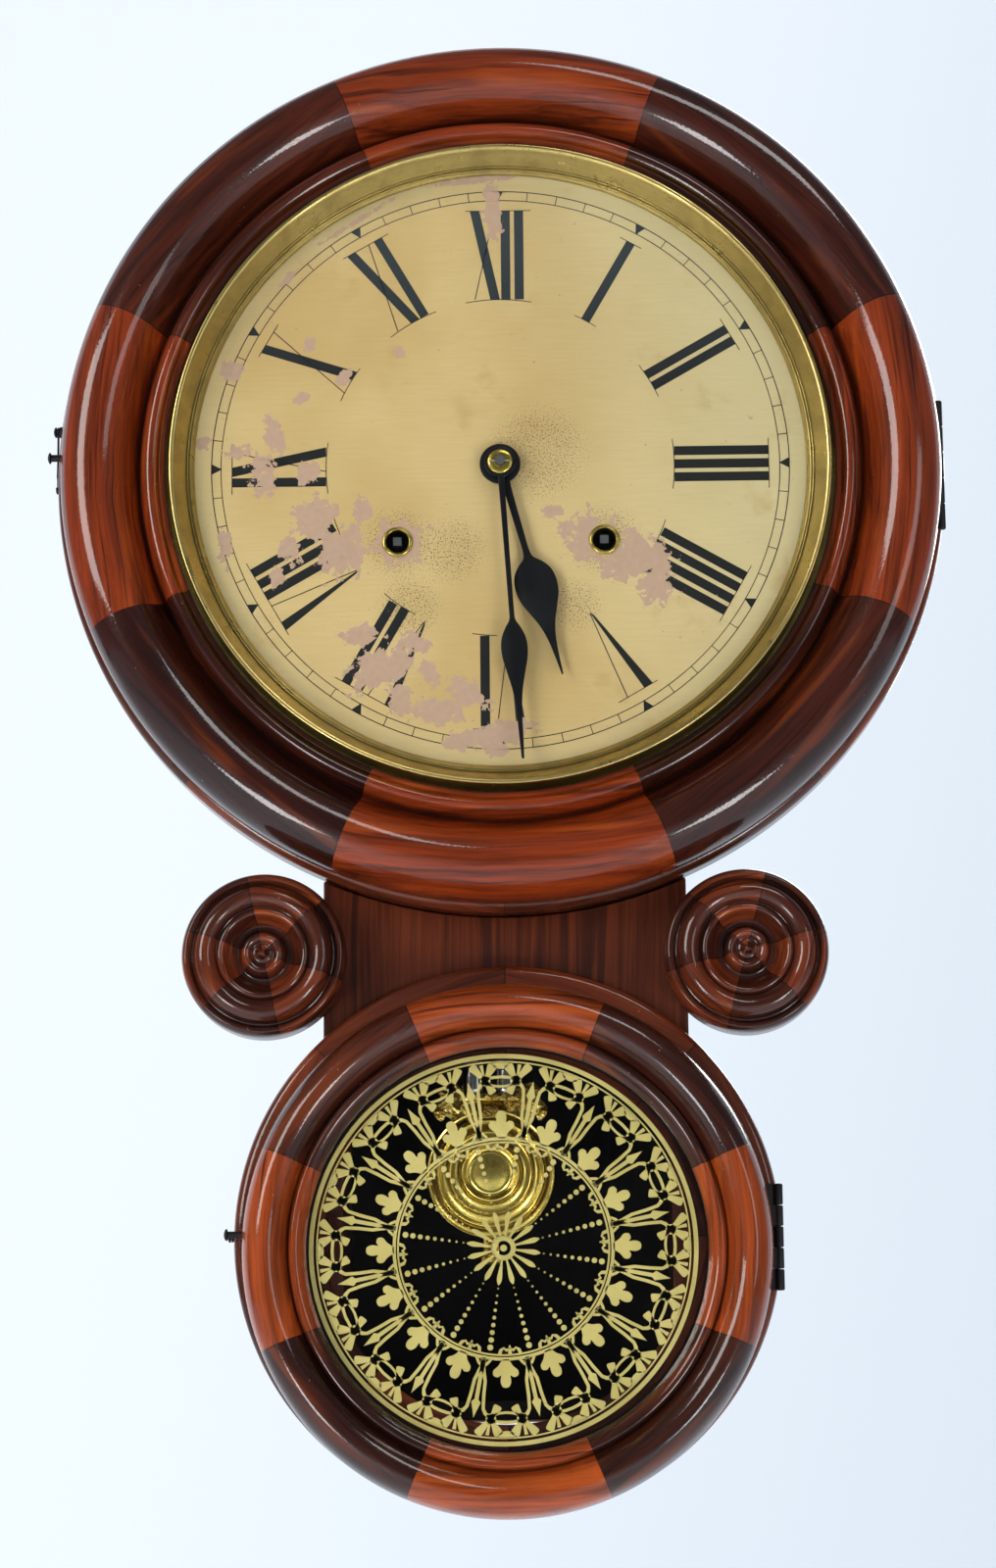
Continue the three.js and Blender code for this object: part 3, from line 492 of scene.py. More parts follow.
# ------------------------------------------------------------------ meshes
def obj(name, verts, faces, mats, body, slot, smooth=40.0, replaces=(), face_mats=None):
    """verts in mm"""
    me = bpy.data.meshes.new(name)
    me.from_pydata([(v[0] * MM, v[1] * MM, v[2] * MM) for v in verts], [], faces)
    for mt in mats if isinstance(mats, (list, tuple)) else [mats]:
        me.materials.append(mt)
    if face_mats is not None:
        me.polygons.foreach_set("material_index", face_mats)
    me.validate()
    bm = bmesh.new()
    bm.from_mesh(me)
    bmesh.ops.recalc_face_normals(bm, faces=bm.faces)
    bm.to_mesh(me)
    bm.free()
    if smooth:
        me.polygons.foreach_set("use_smooth", [True] * len(me.polygons))
        me.set_sharp_from_angle(angle=math.radians(smooth))
    me.update()
    ob = bpy.data.objects.new(name, me)
    bpy.context.scene.collection.objects.link(ob)
    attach(ob, body)
    if replaces:
        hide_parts(*replaces)
    return ob


def spline(points, n=6):
    """Catmull-Rom through the points"""
    p = [np.array(q, float) for q in points]
    p = [2 * p[0] - p[1]] + p + [2 * p[-1] - p[-2]]
    out = []
    for i in range(1, len(p) - 2):
        for k in range(n):
            t = k / n
            a, b, c, d = p[i - 1], p[i], p[i + 1], p[i + 2]
            out.append(tuple(0.5 * (2 * b + (c - a) * t + (2 * a - 5 * b + 4 * c - d) * t * t + (3 * b - a - 3 * c + d) * t**3)))
    out.append(tuple(p[-2]))
    return out


def lathe_data(profile, seg, cx=0.0, cz=0.0, closed=True):
    """profile of (radius, y), turned about Y"""
    verts, faces, rows = [], [], []
    for r, y in profile:
        if r < 1e-6:
            rows.append([len(verts)] * seg)
            verts.append((cx, y, cz))
        else:
            rows.append(list(range(len(verts), len(verts) + seg)))
            verts += [(cx + r * math.sin(2 * PI * k / seg), y, cz + r * math.cos(2 * PI * k / seg)) for k in range(seg)]
    n = len(profile)
    for i in range(n if closed else n - 1):
        a, b = rows[i], rows[(i + 1) % n]
        for k in range(seg):
            f = [a[k], a[(k + 1) % seg], b[(k + 1) % seg], b[k]]
            f = [v for j, v in enumerate(f) if v not in f[:j]]
            if len(f) > 2:
                faces.append(f)
    return verts, faces


def lathe(name, profile, seg, mat, body, slot, cx=0.0, cz=0.0, closed=True, smooth=40.0, replaces=()):
    v, f = lathe_data(profile, seg, cx, cz, closed)
    return obj(name, v, f, mat, body, slot, smooth, replaces)


def merge(parts):
    """joins lists of (verts, faces)"""
    verts, faces = [], []
    for v, f in parts:
        o = len(verts)
        verts += list(v)
        faces += [[i + o for i in q] for q in f]
    return verts, faces


def prism(outline, y0, y1, flip=False):
    """an outline in x and z between two planes, as one closed solid"""
    n = len(outline)
    verts = [(x, y0, z) for x, z in outline] + [(x, y1, z) for x, z in outline]
    faces = [list(range(n)), list(range(2 * n - 1, n - 1, -1))]
    faces += [[i, (i + 1) % n, n + (i + 1) % n, n + i] for i in range(n)]
    return verts, faces


def box_data(x0, x1, y0, y1, z0, z1):
    v = [(x, y, z) for x in (x0, x1) for y in (y0, y1) for z in (z0, z1)]
    f = [[0, 1, 3, 2], [4, 6, 7, 5], [0, 4, 5, 1], [2, 3, 7, 6], [0, 2, 6, 4], [1, 5, 7, 3]]
    return v, f


def tube(path, radius, seg=12, cap=True):
    """a round bar along a path in mm; radius may be a list"""
    p = [Vector(q) for q in path]
    n = len(p)
    rad = radius if isinstance(radius, (list, tuple)) else [radius] * n
    tang = [(p[min(i + 1, n - 1)] - p[max(i - 1, 0)]).normalized() for i in range(n)]
    up = Vector((0, 1, 0)) if abs(tang[0].y) < 0.9 else Vector((1, 0, 0))
    u = tang[0].cross(up).normalized()
    verts, faces = [], []
    for i in range(n):
        u = (u - tang[i] * u.dot(tang[i])).normalized()
        w = tang[i].cross(u)
        for k in range(seg):
            a = 2 * PI * k / seg
            q = p[i] + (u * math.cos(a) + w * math.sin(a)) * rad[i]
            verts.append(tuple(q))
    for i in range(n - 1):
        for k in range(seg):
            faces.append([i * seg + k, i * seg + (k + 1) % seg, (i + 1) * seg + (k + 1) % seg, (i + 1) * seg + k])
    if cap:
        faces.append(list(range(seg - 1, -1, -1)))
        faces.append([(n - 1) * seg + k for k in range(seg)])
    return verts, faces


def bevel(ob, width, segments=2, angle=30.0):
    """rounds the sharp edges, applied to the mesh; width in mm"""
    bm = bmesh.new()
    bm.from_mesh(ob.data)
    bmesh.ops.remove_doubles(bm, verts=bm.verts, dist=1e-6)
    edges = [e for e in bm.edges if len(e.link_faces) == 2 and e.calc_face_angle(0.0) > math.radians(angle)]
    bmesh.ops.bevel(bm, geom=edges, offset=width * MM, offset_type="OFFSET", segments=segments, profile=0.5, affect="EDGES", clamp_overlap=True)
    bmesh.ops.recalc_face_normals(bm, faces=bm.faces)
    bm.to_mesh(ob.data)
    bm.free()
    ob.data.polygons.foreach_set("use_smooth", [True] * len(ob.data.polygons))
    ob.data.set_sharp_from_angle(angle=math.radians(50))
    ob.data.update()
    return ob


def paint(names, mat):
    for n in names:
        me = nodes[n]
        for s in me.material_slots:
            s.material = mat
        if not me.material_slots:
            me.data.materials.append(mat)


# ------------------------------------------------------------------ camera, light, wall
def camera():
    cam = bpy.data.cameras.new("camera")
    ob = bpy.data.objects.new("camera", cam)
    bpy.context.scene.collection.objects.link(ob)
    pitch, yaw, roll = math.radians(10.86), math.radians(-0.76), math.radians(-0.51)
    look = Vector((math.sin(yaw) * math.cos(pitch), math.cos(yaw) * math.cos(pitch), math.sin(pitch)))
    right = Vector((math.cos(yaw), -math.sin(yaw), 0.0))
    up = right.cross(look)
    r2 = math.cos(roll) * right + math.sin(roll) * up
    u2 = -math.sin(roll) * right + math.cos(roll) * up
    rot = Matrix((r2, u2, -look)).transposed()
    ob.matrix_world = Matrix.Translation(Vector((16.29, -1384.26 - 100.0, -400.77)) * MM) @ rot.to_4x4()
    cam.sensor_fit = "VERTICAL"
    cam.sensor_height = 36.0
    cam.lens = 3507.15 / 1600.0 * 36.0
    cam.clip_start, cam.clip_end = 0.05, 30.0
    bpy.context.scene.camera = ob


def area(name, loc, target, size, power, colour=(1, 1, 1), size_y=None, spread=None):
    l = bpy.data.lights.new(name, "AREA")
    l.shape = "RECTANGLE"
    l.size = size
    l.size_y = size_y or size
    l.energy = power
    l.color = colour
    if spread:
        l.spread = math.radians(spread)
    ob = bpy.data.objects.new(name, l)
    bpy.context.scene.collection.objects.link(ob)
    ob.location = loc
    d = Vector(target) - Vector(loc)
    ob.rotation_euler = d.to_track_quat("-Z", "Y").to_euler()
    return ob


camera()
scene = bpy.context.scene
scene.view_settings.view_transform = "Standard"
scene.view_settings.look = "None"
world = bpy.data.worlds.new("studio")
scene.world = world
world.use_nodes = True
bg = world.node_tree.nodes["Background"]
bg.inputs[0].default_value = (0.80, 0.89, 1.0, 1.0)
bg.inputs[1].default_value = 0.15
area("key_left", (-1.9, -1.5, 0.6), (0, 0, -0.1), 1.0, 40.0, (1.0, 0.985, 0.96), size_y=1.3)
area("fill_right", (1.9, -1.7, 0.1), (0, 0, -0.1), 0.7, 9.0, (0.95, 0.97, 1.0), size_y=1.2)
area("low_left", (-0.95, -1.3, -0.95), (0, -0.05, -0.2), 0.4, 8.5, (1.0, 0.99, 0.98))
area("low_right", (0.85, -1.3, -0.95), (0, -0.05, -0.2), 0.36, 6.5, (1.0, 0.99, 0.98))
area("top_strip", (0.55, -0.9, 1.25), (0, 0, 0.0), 1.1, 8.0, (1.0, 0.99, 0.97), size_y=0.3)
area("back_soft", (0.9, 2.2, 1.0), (0, 0, -0.1), 1.2, 30.0, (1.0, 0.99, 0.98))

floor_mat = Mat("pale_floor_mat")
floor_mat.bs("Base Color", floor_mat.mix(floor_mat.noise(floor_mat.vec(2, 2, 2), 1.0, 3.0), (0.80, 0.83, 0.87, 1), (0.84, 0.865, 0.90, 1)))
floor_mat.bs("Roughness", 0.85)
floor_mat.bs("Emission Color", (0.80, 0.87, 0.95, 1))
floor_mat.bs("Emission Strength", 0.28)
wall_mat = Mat("pale_wall_mat")
wx, wy, wz = wall_mat.pos()
wall_mat.bs("Base Color", (0.2, 0.2, 0.2, 1))
wall_mat.bs("Specular IOR Level", 0.0)
# painted shade: the wall's glow fades towards the right and lower down, standing for the key light's falloff
wall_mat.bs("Emission Color", wall_mat.mix(wall_mat.step(wall_mat.add(wx, wall_mat.mul(wz, -0.35)), -1.0, 1.3), (0.80, 0.87, 0.95, 1), (0.60, 0.68, 0.77, 1)))
wall_mat.bs("Emission Strength", 1.0)


def sheet_piece(name, corners, mat):
    me_ = bpy.data.meshes.new(name)
    me_.from_pydata(corners, [], [[0, 1, 2, 3]])
    me_.materials.append(mat)
    ob_ = bpy.data.objects.new(name, me_)
    scene.collection.objects.link(ob_)
    return ob_


wall = sheet_piece("pale_wall", [(-6, 3.4, -1.25), (6, 3.4, -1.25), (6, 3.4, 5), (-6, 3.4, 5)], wall_mat.m)
floor = sheet_piece("pale_floor", [(-6, -6, -1.25), (6, -6, -1.25), (6, 3.4, -1.25), (-6, 3.4, -1.25)], floor_mat.m)
surround = [
    sheet_piece("pale_side_left", [(-6, -6, -1.25), (-6, 3.4, -1.25), (-6, 3.4, 5), (-6, -6, 5)], wall_mat.m),
    sheet_piece("pale_side_right", [(6, -6, -1.25), (6, 3.4, -1.25), (6, 3.4, 5), (6, -6, 5)], wall_mat.m),
    sheet_piece("pale_side_front", [(-6, -6, -1.25), (6, -6, -1.25), (6, -6, 5), (-6, -6, 5)], wall_mat.m),
]
for o in surround:
    o.visible_diffuse = o.visible_glossy = o.visible_transmission = False
    o.visible_shadow = False

# ------------------------------------------------------------------ woods
W_UP = segmented_wood("wood_upper_door", 0.0, 0.0, groove_dirt_and_shade=((0.1511, 0.0016, 0.75), (0.1398, 0.0012, 0.6)))
W_UPB = segmented_wood("wood_upper_base", 0.0, 0.0, turn=0.0, parity=0.0, light=lin(98, 42, 20), dark=lin(78, 34, 18), contrast=0.8)
W_LOW = segmented_wood("wood_lower_door", 0.0, LOW_Z * MM, mean_r=0.095, light=lin(140, 58, 17), dark=lin(46, 18, 11), groove_dirt_and_shade=((0.0876, 0.0010, 0.7), (0.0803, 0.001, 0.5)))
W_LOWB = segmented_wood("wood_lower_base", 0.0, LOW_BASE_Z * MM, turn=0.0, mean_r=0.1, light=lin(98, 42, 20), dark=lin(78, 34, 18), contrast=0.8)
W_WAIST = plain_wood("wood_waist", lin(92, 40, 18), "z", 0.35, 1.5, 0.5, 0.35, 1.0, 0.7)
TRUNK_Z = (-0.392, 0.165)
W_TRUNK = plain_wood("wood_trunk", lin(80, 36, 20), "z", 0.5, 1.4, 0.5, 0.35, 0.8, 0.5, inside=(0.0668, 0.0))
W_PINE = plain_wood("wood_pine", lin(150, 108, 66), "z", 0.72, 1.2, 0.7, 0.0, 0.5, 0.25, lin(96, 60, 34), inside=(0.0, 0.0075))
W_PINE_X = plain_wood("wood_pine_across", lin(140, 100, 62), "x", 0.72, 1.2, 0.7, 0.0, 0.5, 0.25, lin(96, 60, 34), inside=(0.0, 0.0095, TRUNK_Z[0], TRUNK_Z[1]))
B_BEZEL = turned_brass("brass_bezel", 0.0, 0.0, lin(190, 168, 104), 0.26, 0.35, lin(120, 104, 60))
B_BOB = turned_brass("brass_bob", PEND_X * MM, BOB_Z * MM, lin(255, 226, 118), 0.2, 0.4, lin(122, 106, 44), 0.6)
B_FRAME = cast_metal("brass_frame", lin(206, 172, 78), 0.22, 1.0, 900.0, 0.1, 0.2, lin(110, 84, 34))
B_MOVE = cast_metal("brass_movement", lin(170, 138, 66), 0.34, 1.0, 700.0, 0.1, 0.35, lin(84, 62, 30))
STEEL = cast_metal("steel_mat", lin(168, 168, 165), 0.3, 1.0, 1200.0, 0.08, 0.25, lin(70, 64, 58))
IRON = cast_metal("iron_mat", lin(30, 30, 32), 0.5, 0.6, 900.0, 0.2, 0.3, lin(52, 34, 22))
BLUED = cast_metal("blued_mat", lin(13, 14, 18), 0.34, 0.35, 700.0, 0.05, 0.2, lin(26, 24, 22))
SILVER = cast_metal("silver_mat", lin(225, 226, 224), 0.08, 1.0, 300.0, 0.02, 0.1, lin(150, 150, 146))
B_LEAF = leaf_brass()
GILT = gilding()
DIAL = dial_paint()
INK = dial_ink()
GLASS = pane("glass_upper", (0.99, 0.995, 0.99, 1.0), 0.02, 0.3)
GLASS_LOW = pane("glass_lower", (0.985, 0.99, 0.985, 1.0), 0.03, 0.35)

paint(["backboard"], W_PINE)
paint(["trunk_top", "trunk_bottom"], W_PINE_X)
paint(["tablet_retainer"], W_PINE)
paint(["hanger_plate", "gong_base", "hammer"], IRON)
paint(["front_plate", "back_plate", "pillar_1", "pillar_2", "pillar_3", "pillar_4", "minute_wheel", "hour_wheel", "escape_wheel"], B_MOVE)
paint(["winding_arbor_strike", "winding_arbor_time", "verge", "mainspring_strike", "mainspring_time", "gong_coil", "centre_arbor", "pendulum_rod", "taper_pin"], STEEL)
paint(["dial"], DIAL)
paint(["upper_glass"], GLASS)
paint(["tablet_glass"], GLASS_LOW)
paint(["upper_catch_screw", "lower_catch_screw", "upper_catch_pin", "lower_catch_pin", "upper_catch_hook", "lower_catch_hook"], IRON)
paint(["rating_nut", "pendulum_frame"], B_FRAME)
paint(["pendulum_cylinder_left", "pendulum_cylinder_right"], SILVER)

# ------------------------------------------------------------------ upper door
SEG = 256
door = (
    [(142.3, -92.5), (183.3, -92.5)]
    + spline([(183.7, -92.7), (184.0, -93.3), (184.0, -96.0), (183.9, -99.5), (183.2, -104.5), (181.5, -109.2), (178.6, -113.3), (174.6, -116.5), (169.8, -118.0), (165.0, -117.2), (160.6, -114.4), (157.2, -110.2), (154.8, -105.8), (153.0, -102.6), (151.6, -100.9), (150.7, -100.4)], 5)
    + spline([(150.4, -101.0), (150.0, -103.2), (148.9, -106.2), (147.0, -108.4), (145.0, -108.9), (143.1, -107.8), (141.9, -106.2), (141.0, -105.9), (139.8, -105.8)], 4)
    + [(139.5, -105.5), (139.5, -95.2), (142.3, -95.2)]
)
lathe("upper_door_ring_fine", door, SEG, W_UP, "upper_door", "segmented_rosewood", replaces=["upper_door_ring"])
bezel = (
    [(142.0, -93.2), (142.0, -94.9), (137.4, -94.9), (137.4, -111.6)]
    + spline([(137.35, -112.1), (137.0, -112.5), (136.4, -112.65), (135.7, -112.4), (135.2, -111.95)], 3)
    + [(136.3, -111.9), (136.3, -110.1), (135.9, -109.9), (135.5, -109.3)]
    + spline([(134.0, -107.3), (132.4, -105.2), (131.2, -103.5)], 3)
    + spline([(130.9, -103.2), (130.75, -103.35), (130.5, -103.5), (130.2, -103.35), (130.05, -103.0)], 3)
    + spline([(129.9, -102.75), (129.7, -102.85), (129.4, -102.9), (129.1, -102.7), (128.95, -102.3)], 3)
    + spline([(128.6, -101.9), (128.1, -101.4), (127.75, -100.9)], 3)
    + [(127.7, -100.45), (129.2, -100.45), (136.3, -108.6), (136.3, -93.2)]
)
lathe("sight_ring_fine", bezel, SEG, B_BEZEL, "upper_door", "polished_brass", replaces=["sight_ring"], smooth=35)

# ------------------------------------------------------------------ fixed rings
up_base = (
    [(0, -72), (183.5, -72)]
    + spline([(184.6, -72.4), (185.9, -73.7), (186.4, -75.2), (186.5, -77), (186.5, -82), (186.5, -86.6), (186.3, -88.6), (185.5, -90.4), (184.2, -91.5), (182.6, -92.0)], 3)
    + [(134, -92), (134, -98.7), (122, -98.7), (122, -92), (0, -92)]
)
ub = lathe("upper_base_ring_fine", up_base, SEG, W_UPB, "case", "dark_rosewood", closed=False, replaces=["upper_base_ring"])
cutter = obj("cutter", *box_data(-62, 62, -101, -60, -80, 80), W_UPB, "case", None, smooth=0)
md = ub.modifiers.new("hole", "BOOLEAN")
md.object = cutter
md.operation = "DIFFERENCE"
md.solver = "EXACT"
dg = bpy.context.evaluated_depsgraph_get()
new = bpy.data.meshes.new_from_object(ub.evaluated_get(dg))
ub.modifiers.clear()
ub.data = new
bpy.data.objects.remove(cutter)
low_base = (
    [(74, -72), (107.5, -72)]
    + spline([(108.6, -72.4), (109.9, -73.7), (110.4, -75.2), (110.5, -77), (110.5, -82), (110.5, -86.6), (110.3, -88.6), (109.5, -90.4), (108.2, -91.5), (106.6, -92.0)], 3)
    + [(74, -92)]
)
lathe("lower_base_ring_fine", low_base, SEG, W_LOWB, "case", "dark_rosewood", cz=LOW_BASE_Z, replaces=["lower_base_ring"])

# ------------------------------------------------------------------ lower door
low = (
    [(83.6, -92.5), (105.8, -92.5)]
    + spline([(106.2, -92.7), (106.5, -93.3), (106.5, -96), (106.4, -99.5), (105.8, -104.0), (104.4, -109.0), (102.0, -112.9), (98.8, -115.3), (95.4, -115.4), (92.4, -113.6), (90.2, -110.6), (88.7, -107.4), (87.9, -106.0)], 5)
    + spline([(87.5, -106.2), (87.1, -107.2), (86.2, -108.2), (84.9, -108.5), (83.5, -107.9), (82.2, -106.5), (81.2, -104.8), (80.5, -103.4)], 4)
    + [(80.3, -102.8), (80.3, -101.6), (83.6, -101.6)]
)
lathe("lower_door_ring_fine", low, SEG, W_LOW, "lower_door", "segmented_rosewood", cz=LOW_Z, replaces=["lower_door_ring"])

# ------------------------------------------------------------------ waist and trunk
pts = []
N = 48
for i in range(N + 1):
    x = -75 + 150 * i / N
    pts.append((x, -math.sqrt(187.1**2 - x * x)))
for i in range(N + 1):
    x = 75 - 150 * i / N
    pts.append((x, LOW_BASE_Z + math.sqrt(111.1**2 - x * x)))
v = [(x, -78, z) for x, z in pts] + [(x, -72, z) for x, z in pts]
n = len(pts)
f = [[i, i + 1, n - 2 - i, n - 1 - i] for i in range(N)]
f += [[n + a for a in q[::-1]] for q in f]
f += [[i, n + i, n + (i + 1) % n, (i + 1) % n] for i in range(n)]
bevel(obj("waist_panel_fine", v, f, W_WAIST, "case", "dark_rosewood", replaces=["waist_panel"]), 0.5)


def fine_box(node, mat, body, slot, width=0.8):
    lo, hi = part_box(node)
    lo, hi = [c / MM for c in lo], [c / MM for c in hi]
    return bevel(obj(node + "_fine", *box_data(lo[0], hi[0], lo[1], hi[1], lo[2], hi[2]), mat, body, slot, replaces=[node]), width)


for side in ("left", "right"):
    fine_box("trunk_side_" + side, W_TRUNK, "case", "dark_rosewood")
    fine_box("roundel_block_" + side, W_TRUNK, "case", "dark_rosewood", 1.2)
fine_box("trunk_top", W_PINE_X, "case", "pine", 0.4)
fine_box("trunk_bottom", W_PINE_X, "case", "pine", 0.4)

# ------------------------------------------------------------------ roundels
rnd_profile = (
    [(0, -78.3), (31.6, -78.3)]
    + spline([(32.8, -79.0), (33.6, -80.4), (33.7, -83), (33.7, -88), (33.6, -92.4), (33.0, -95.0), (31.8, -96.5), (30.4, -96.4)], 4)
    + spline([(29.7, -95.3), (29.2, -95.0), (28.7, -95.2)], 3)
    + spline([(28.3, -96.2), (27.6, -98.8), (26.2, -101.0), (24.0, -102.1), (21.8, -101.5), (20.2, -99.9), (19.4, -98.6)], 4)
    + spline([(18.9, -98.4), (18.2, -99.2), (17.2, -99.7), (16.2, -99.2)], 3)
    + spline([(15.4, -97.2), (14.0, -94.6), (12.0, -93.0), (10.0, -93.2), (9.2, -94.4)], 4)
    + spline([(8.8, -96.6), (8.2, -98.6), (7.0, -99.6), (5.6, -99.0), (4.2, -97.8), (2.6, -98.6), (1.2, -100.4), (0, -101.3)], 4)
)
for side, s in (("left", -1), ("right", 1)):
    w = segmented_wood("wood_roundel_" + side, s * ROUNDEL_X * MM, ROUNDEL_Z * MM, count=6, turn=0.2 if s < 0 else 0.75, mean_r=0.025, light=lin(96, 40, 18), dark=lin(60, 24, 13), groove_dirt_and_shade=((0.0290, 0.0009, 0.9), (0.0191, 0.0009, 0.9), (0.0102, 0.0026, 0.75), (0.0042, 0.0010, 0.7)), across=1.6)
    lathe("roundel_" + side + "_fine", rnd_profile, 128, w, "case", "segmented_rosewood", cx=s * ROUNDEL_X, cz=ROUNDEL_Z, closed=False, replaces=["roundel_" + side])

# ------------------------------------------------------------------ dial print
print_y0, print_y1 = -100.0, -100.06
parts = []


def polar(t, rho, ang):
    """t along the ring (clockwise), rho outwards, about the clock angle"""
    s, c = math.sin(ang), math.cos(ang)
    return (t * c + rho * s, rho * c - t * s)


def quad(ang, pts_):
    parts.append(prism([polar(t, r, ang) for t, r in pts_], print_y0, print_y1))


def arc_band(r0, r1, n=360):
    v, f = [], []
    for i in range(n):
        s, c = math.sin(2 * PI * i / n), math.cos(2 * PI * i / n)
        v += [(r0 * s, print_y0, r0 * c), (r0 * s, print_y1, r0 * c), (r1 * s, print_y1, r1 * c), (r1 * s, print_y0, r1 * c)]
    for i in range(n):
        a, b = 4 * i, 4 * ((i + 1) % n)
        f += [[a + 1, b + 1, b + 2, a + 2], [a, a + 1, a + 2, a + 3][::-1]] if False else [[a + 1, a + 2, b + 2, b + 1], [a, b, b + 3, a + 3], [a, a + 1, b + 1, b], [a + 2, a + 3, b + 3, b + 2]]
    return v, f


parts.append(arc_band(116.45, 116.8))
parts.append(arc_band(120.4, 120.8))
for k in range(60):
    ang = 2 * PI * k / 60
    if k % 5:
        quad(ang, [(-0.17, 116.6), (0.17, 116.6), (0.17, 120.6), (-0.17, 120.6)])
    else:
        quad(ang, [(0.0, 116.2), (2.3, 120.6), (-2.3, 120.6)])
R0, R1, TH, TN = 72.7, 112.0, 3.9, 0.32
ROMAN = {1: "I", 2: "II", 3: "III", 4: "IIII", 5: "V", 6: "VI", 7: "VII", 8: "VIII", 9: "IX", 10: "X", 11: "XI", 12: "XII"}
ADV = {"I": 5.65, "X": 11.8, "V": 14.0}


def stroke(ang, t0, r0, t1, r1, w):
    h = w / 2
    quad(ang, [(t0 - h, r0), (t0 + h, r0), (t1 + h, r1), (t1 - h, r1)])


for hour, text in ROMAN.items():
    ang = 2 * PI * hour / 12
    width = sum(ADV[c] for c in text)
    t = -width / 2
    in_lo, in_hi = None, None
    for c in text:
        a = ADV[c]
        mid = t + a / 2
        if c == "I":
            stroke(ang, mid, R0, mid, R1, TH)
        elif c == "X":
            stroke(ang, mid + 4.2, R0, mid - 4.2, R1, TH + 0.15)
            stroke(ang, mid - 4.3, R0, mid + 4.3, R1, TN + 0.08)
        else:
            h = TH / 2 + 0.1
            quad(ang, [(mid + 0.1, R0), (mid - 5.0 + h, R1), (mid - 5.0 - h, R1), (mid - 0.9, R0 + 2.2)])
            stroke(ang, mid + 0.2, R0 + 1.0, mid + 5.0, R1, TN + 0.08)
        if c != "V":
            in_lo = t if in_lo is None else in_lo
            in_hi = t + a
        t += a
    quad(ang, [(-width / 2 - 2.3, R1 - 0.17), (width / 2 + 2.3, R1 - 0.17), (width / 2 + 2.3, R1 + 0.17), (-width / 2 - 2.3, R1 + 0.17)])
    if in_lo is not None:
        n = 10
        lo_t, hi_t = in_lo - 2.3, in_hi + 2.3
        ts = [lo_t + (hi_t - lo_t) * i / n for i in range(n + 1)]
        band = [(q, math.sqrt((R0 + 0.17) ** 2 - q * q)) for q in ts] + [(q, math.sqrt((R0 - 0.17) ** 2 - q * q)) for q in reversed(ts)]
        quad(ang, band)
obj("dial_numerals_and_track", *merge(parts), INK, "case", "dial_paint", smooth=0)

# ------------------------------------------------------------------ grommets, hands
for nm, (x, z) in zip(("strike", "time"), WIND):
    g = [(4.7, -98.2), (5.3, -98.2), (5.3, -100.1), (6.1, -100.1)] + spline([(6.3, -100.2), (6.25, -100.6), (5.8, -101.0), (5.2, -101.1), (4.85, -100.8), (4.72, -100.3)], 4)
    lathe("grommet_" + nm + "_fine", g, 64, turned_brass("brass_grommet_" + nm, x * MM, z * MM, lin(190, 168, 82), 0.22, 0.3), "case", "polished_brass", cx=x, cz=z, replaces=["winding_grommet_" + nm])


def hand(name, node, half, eye_r, hole_r, y0, y1, angle, body):
    """a flat hand: half widths against the distance from the centre, an eye at the top"""
    prof = spline(half, 8)
    ring = []
    n = 64
    a0 = math.asin(min(1.0, prof[0][0] / eye_r))
    # round the eye from the right shoulder over the top to the left shoulder
    for i in range(n + 1):
        t = PI - a0 - (2 * PI - 2 * a0) * i / n
        ring.append((eye_r * math.sin(t), eye_r * math.cos(t)))
    out = ring + [(-w, z) for w, z in prof[1:]] + [(w, z) for w, z in reversed(prof[1:])]
    c, s = math.cos(angle), math.sin(angle)
    inner = [(hole_r * math.sin(2 * PI * i / 48), hole_r * math.cos(2 * PI * i / 48)) for i in range(48)]
    bm = bmesh.new()
    loops = []
    for loop in (out, inner):
        vs = [bm.verts.new(((x * c - z * s) * MM, y1 * MM, (x * s + z * c) * MM)) for x, z in loop]
        es = [bm.edges.new((vs[i], vs[(i + 1) % len(vs)])) for i in range(len(vs))]
        loops += es
    bmesh.ops.triangle_fill(bm, use_beauty=True, edges=loops)
    face = list(bm.faces)
    ext = bmesh.ops.extrude_face_region(bm, geom=face)
    vs = [g for g in ext["geom"] if isinstance(g, bmesh.types.BMVert)]
    bmesh.ops.translate(bm, verts=vs, vec=(0, (y0 - y1) * MM, 0))
    bmesh.ops.recalc_face_normals(bm, faces=bm.faces)
    me = bpy.data.meshes.new(name)
    bm.to_mesh(me)
    bm.free()
    me.materials.append(BLUED)
    ob = bpy.data.objects.new(name, me)
    scene.collection.objects.link(ob)
    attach(ob, body)
    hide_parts(node)
    return bevel(ob, 0.16, 2, 60)


hand("minute_hand_fine", "minute_hand", [(1.5, -6.2), (1.28, -12), (1.15, -30), (1.05, -62), (1.3, -67.5), (3.1, -70.8), (4.9, -75), (5.5, -79.6), (5.0, -84.5), (3.6, -90.5), (2.1, -97.5), (1.2, -106), (0.9, -116), (0.55, -126)], 6.5, 2.1, -105.4, -106.6, math.radians(3.8), "minute_train")
hand("hour_hand_fine", "hour_hand", [(1.9, -8.2), (1.6, -14), (1.4, -30), (1.35, -38.5), (2.2, -42.2), (5.2, -45), (7.9, -49), (8.8, -54), (8.1, -59.5), (5.9, -65), (3.4, -71), (1.8, -77.5), (0.95, -85), (0.35, -93.4)], 8.5, 3.5, -102.6, -103.8, math.radians(15.5), "hour_train")
wash = [(2.12, -106.75)] + spline([(5.0, -106.75), (5.2, -107.0), (4.9, -107.4), (4.0, -107.75), (3.0, -107.9), (2.4, -107.8)], 4) + [(2.12, -107.6)]
lathe("hand_washer_fine", wash, 48, turned_brass("brass_washer", 0, 0, lin(190, 168, 82), 0.22, 0.2), "minute_train", "polished_brass", replaces=["hand_washer"])
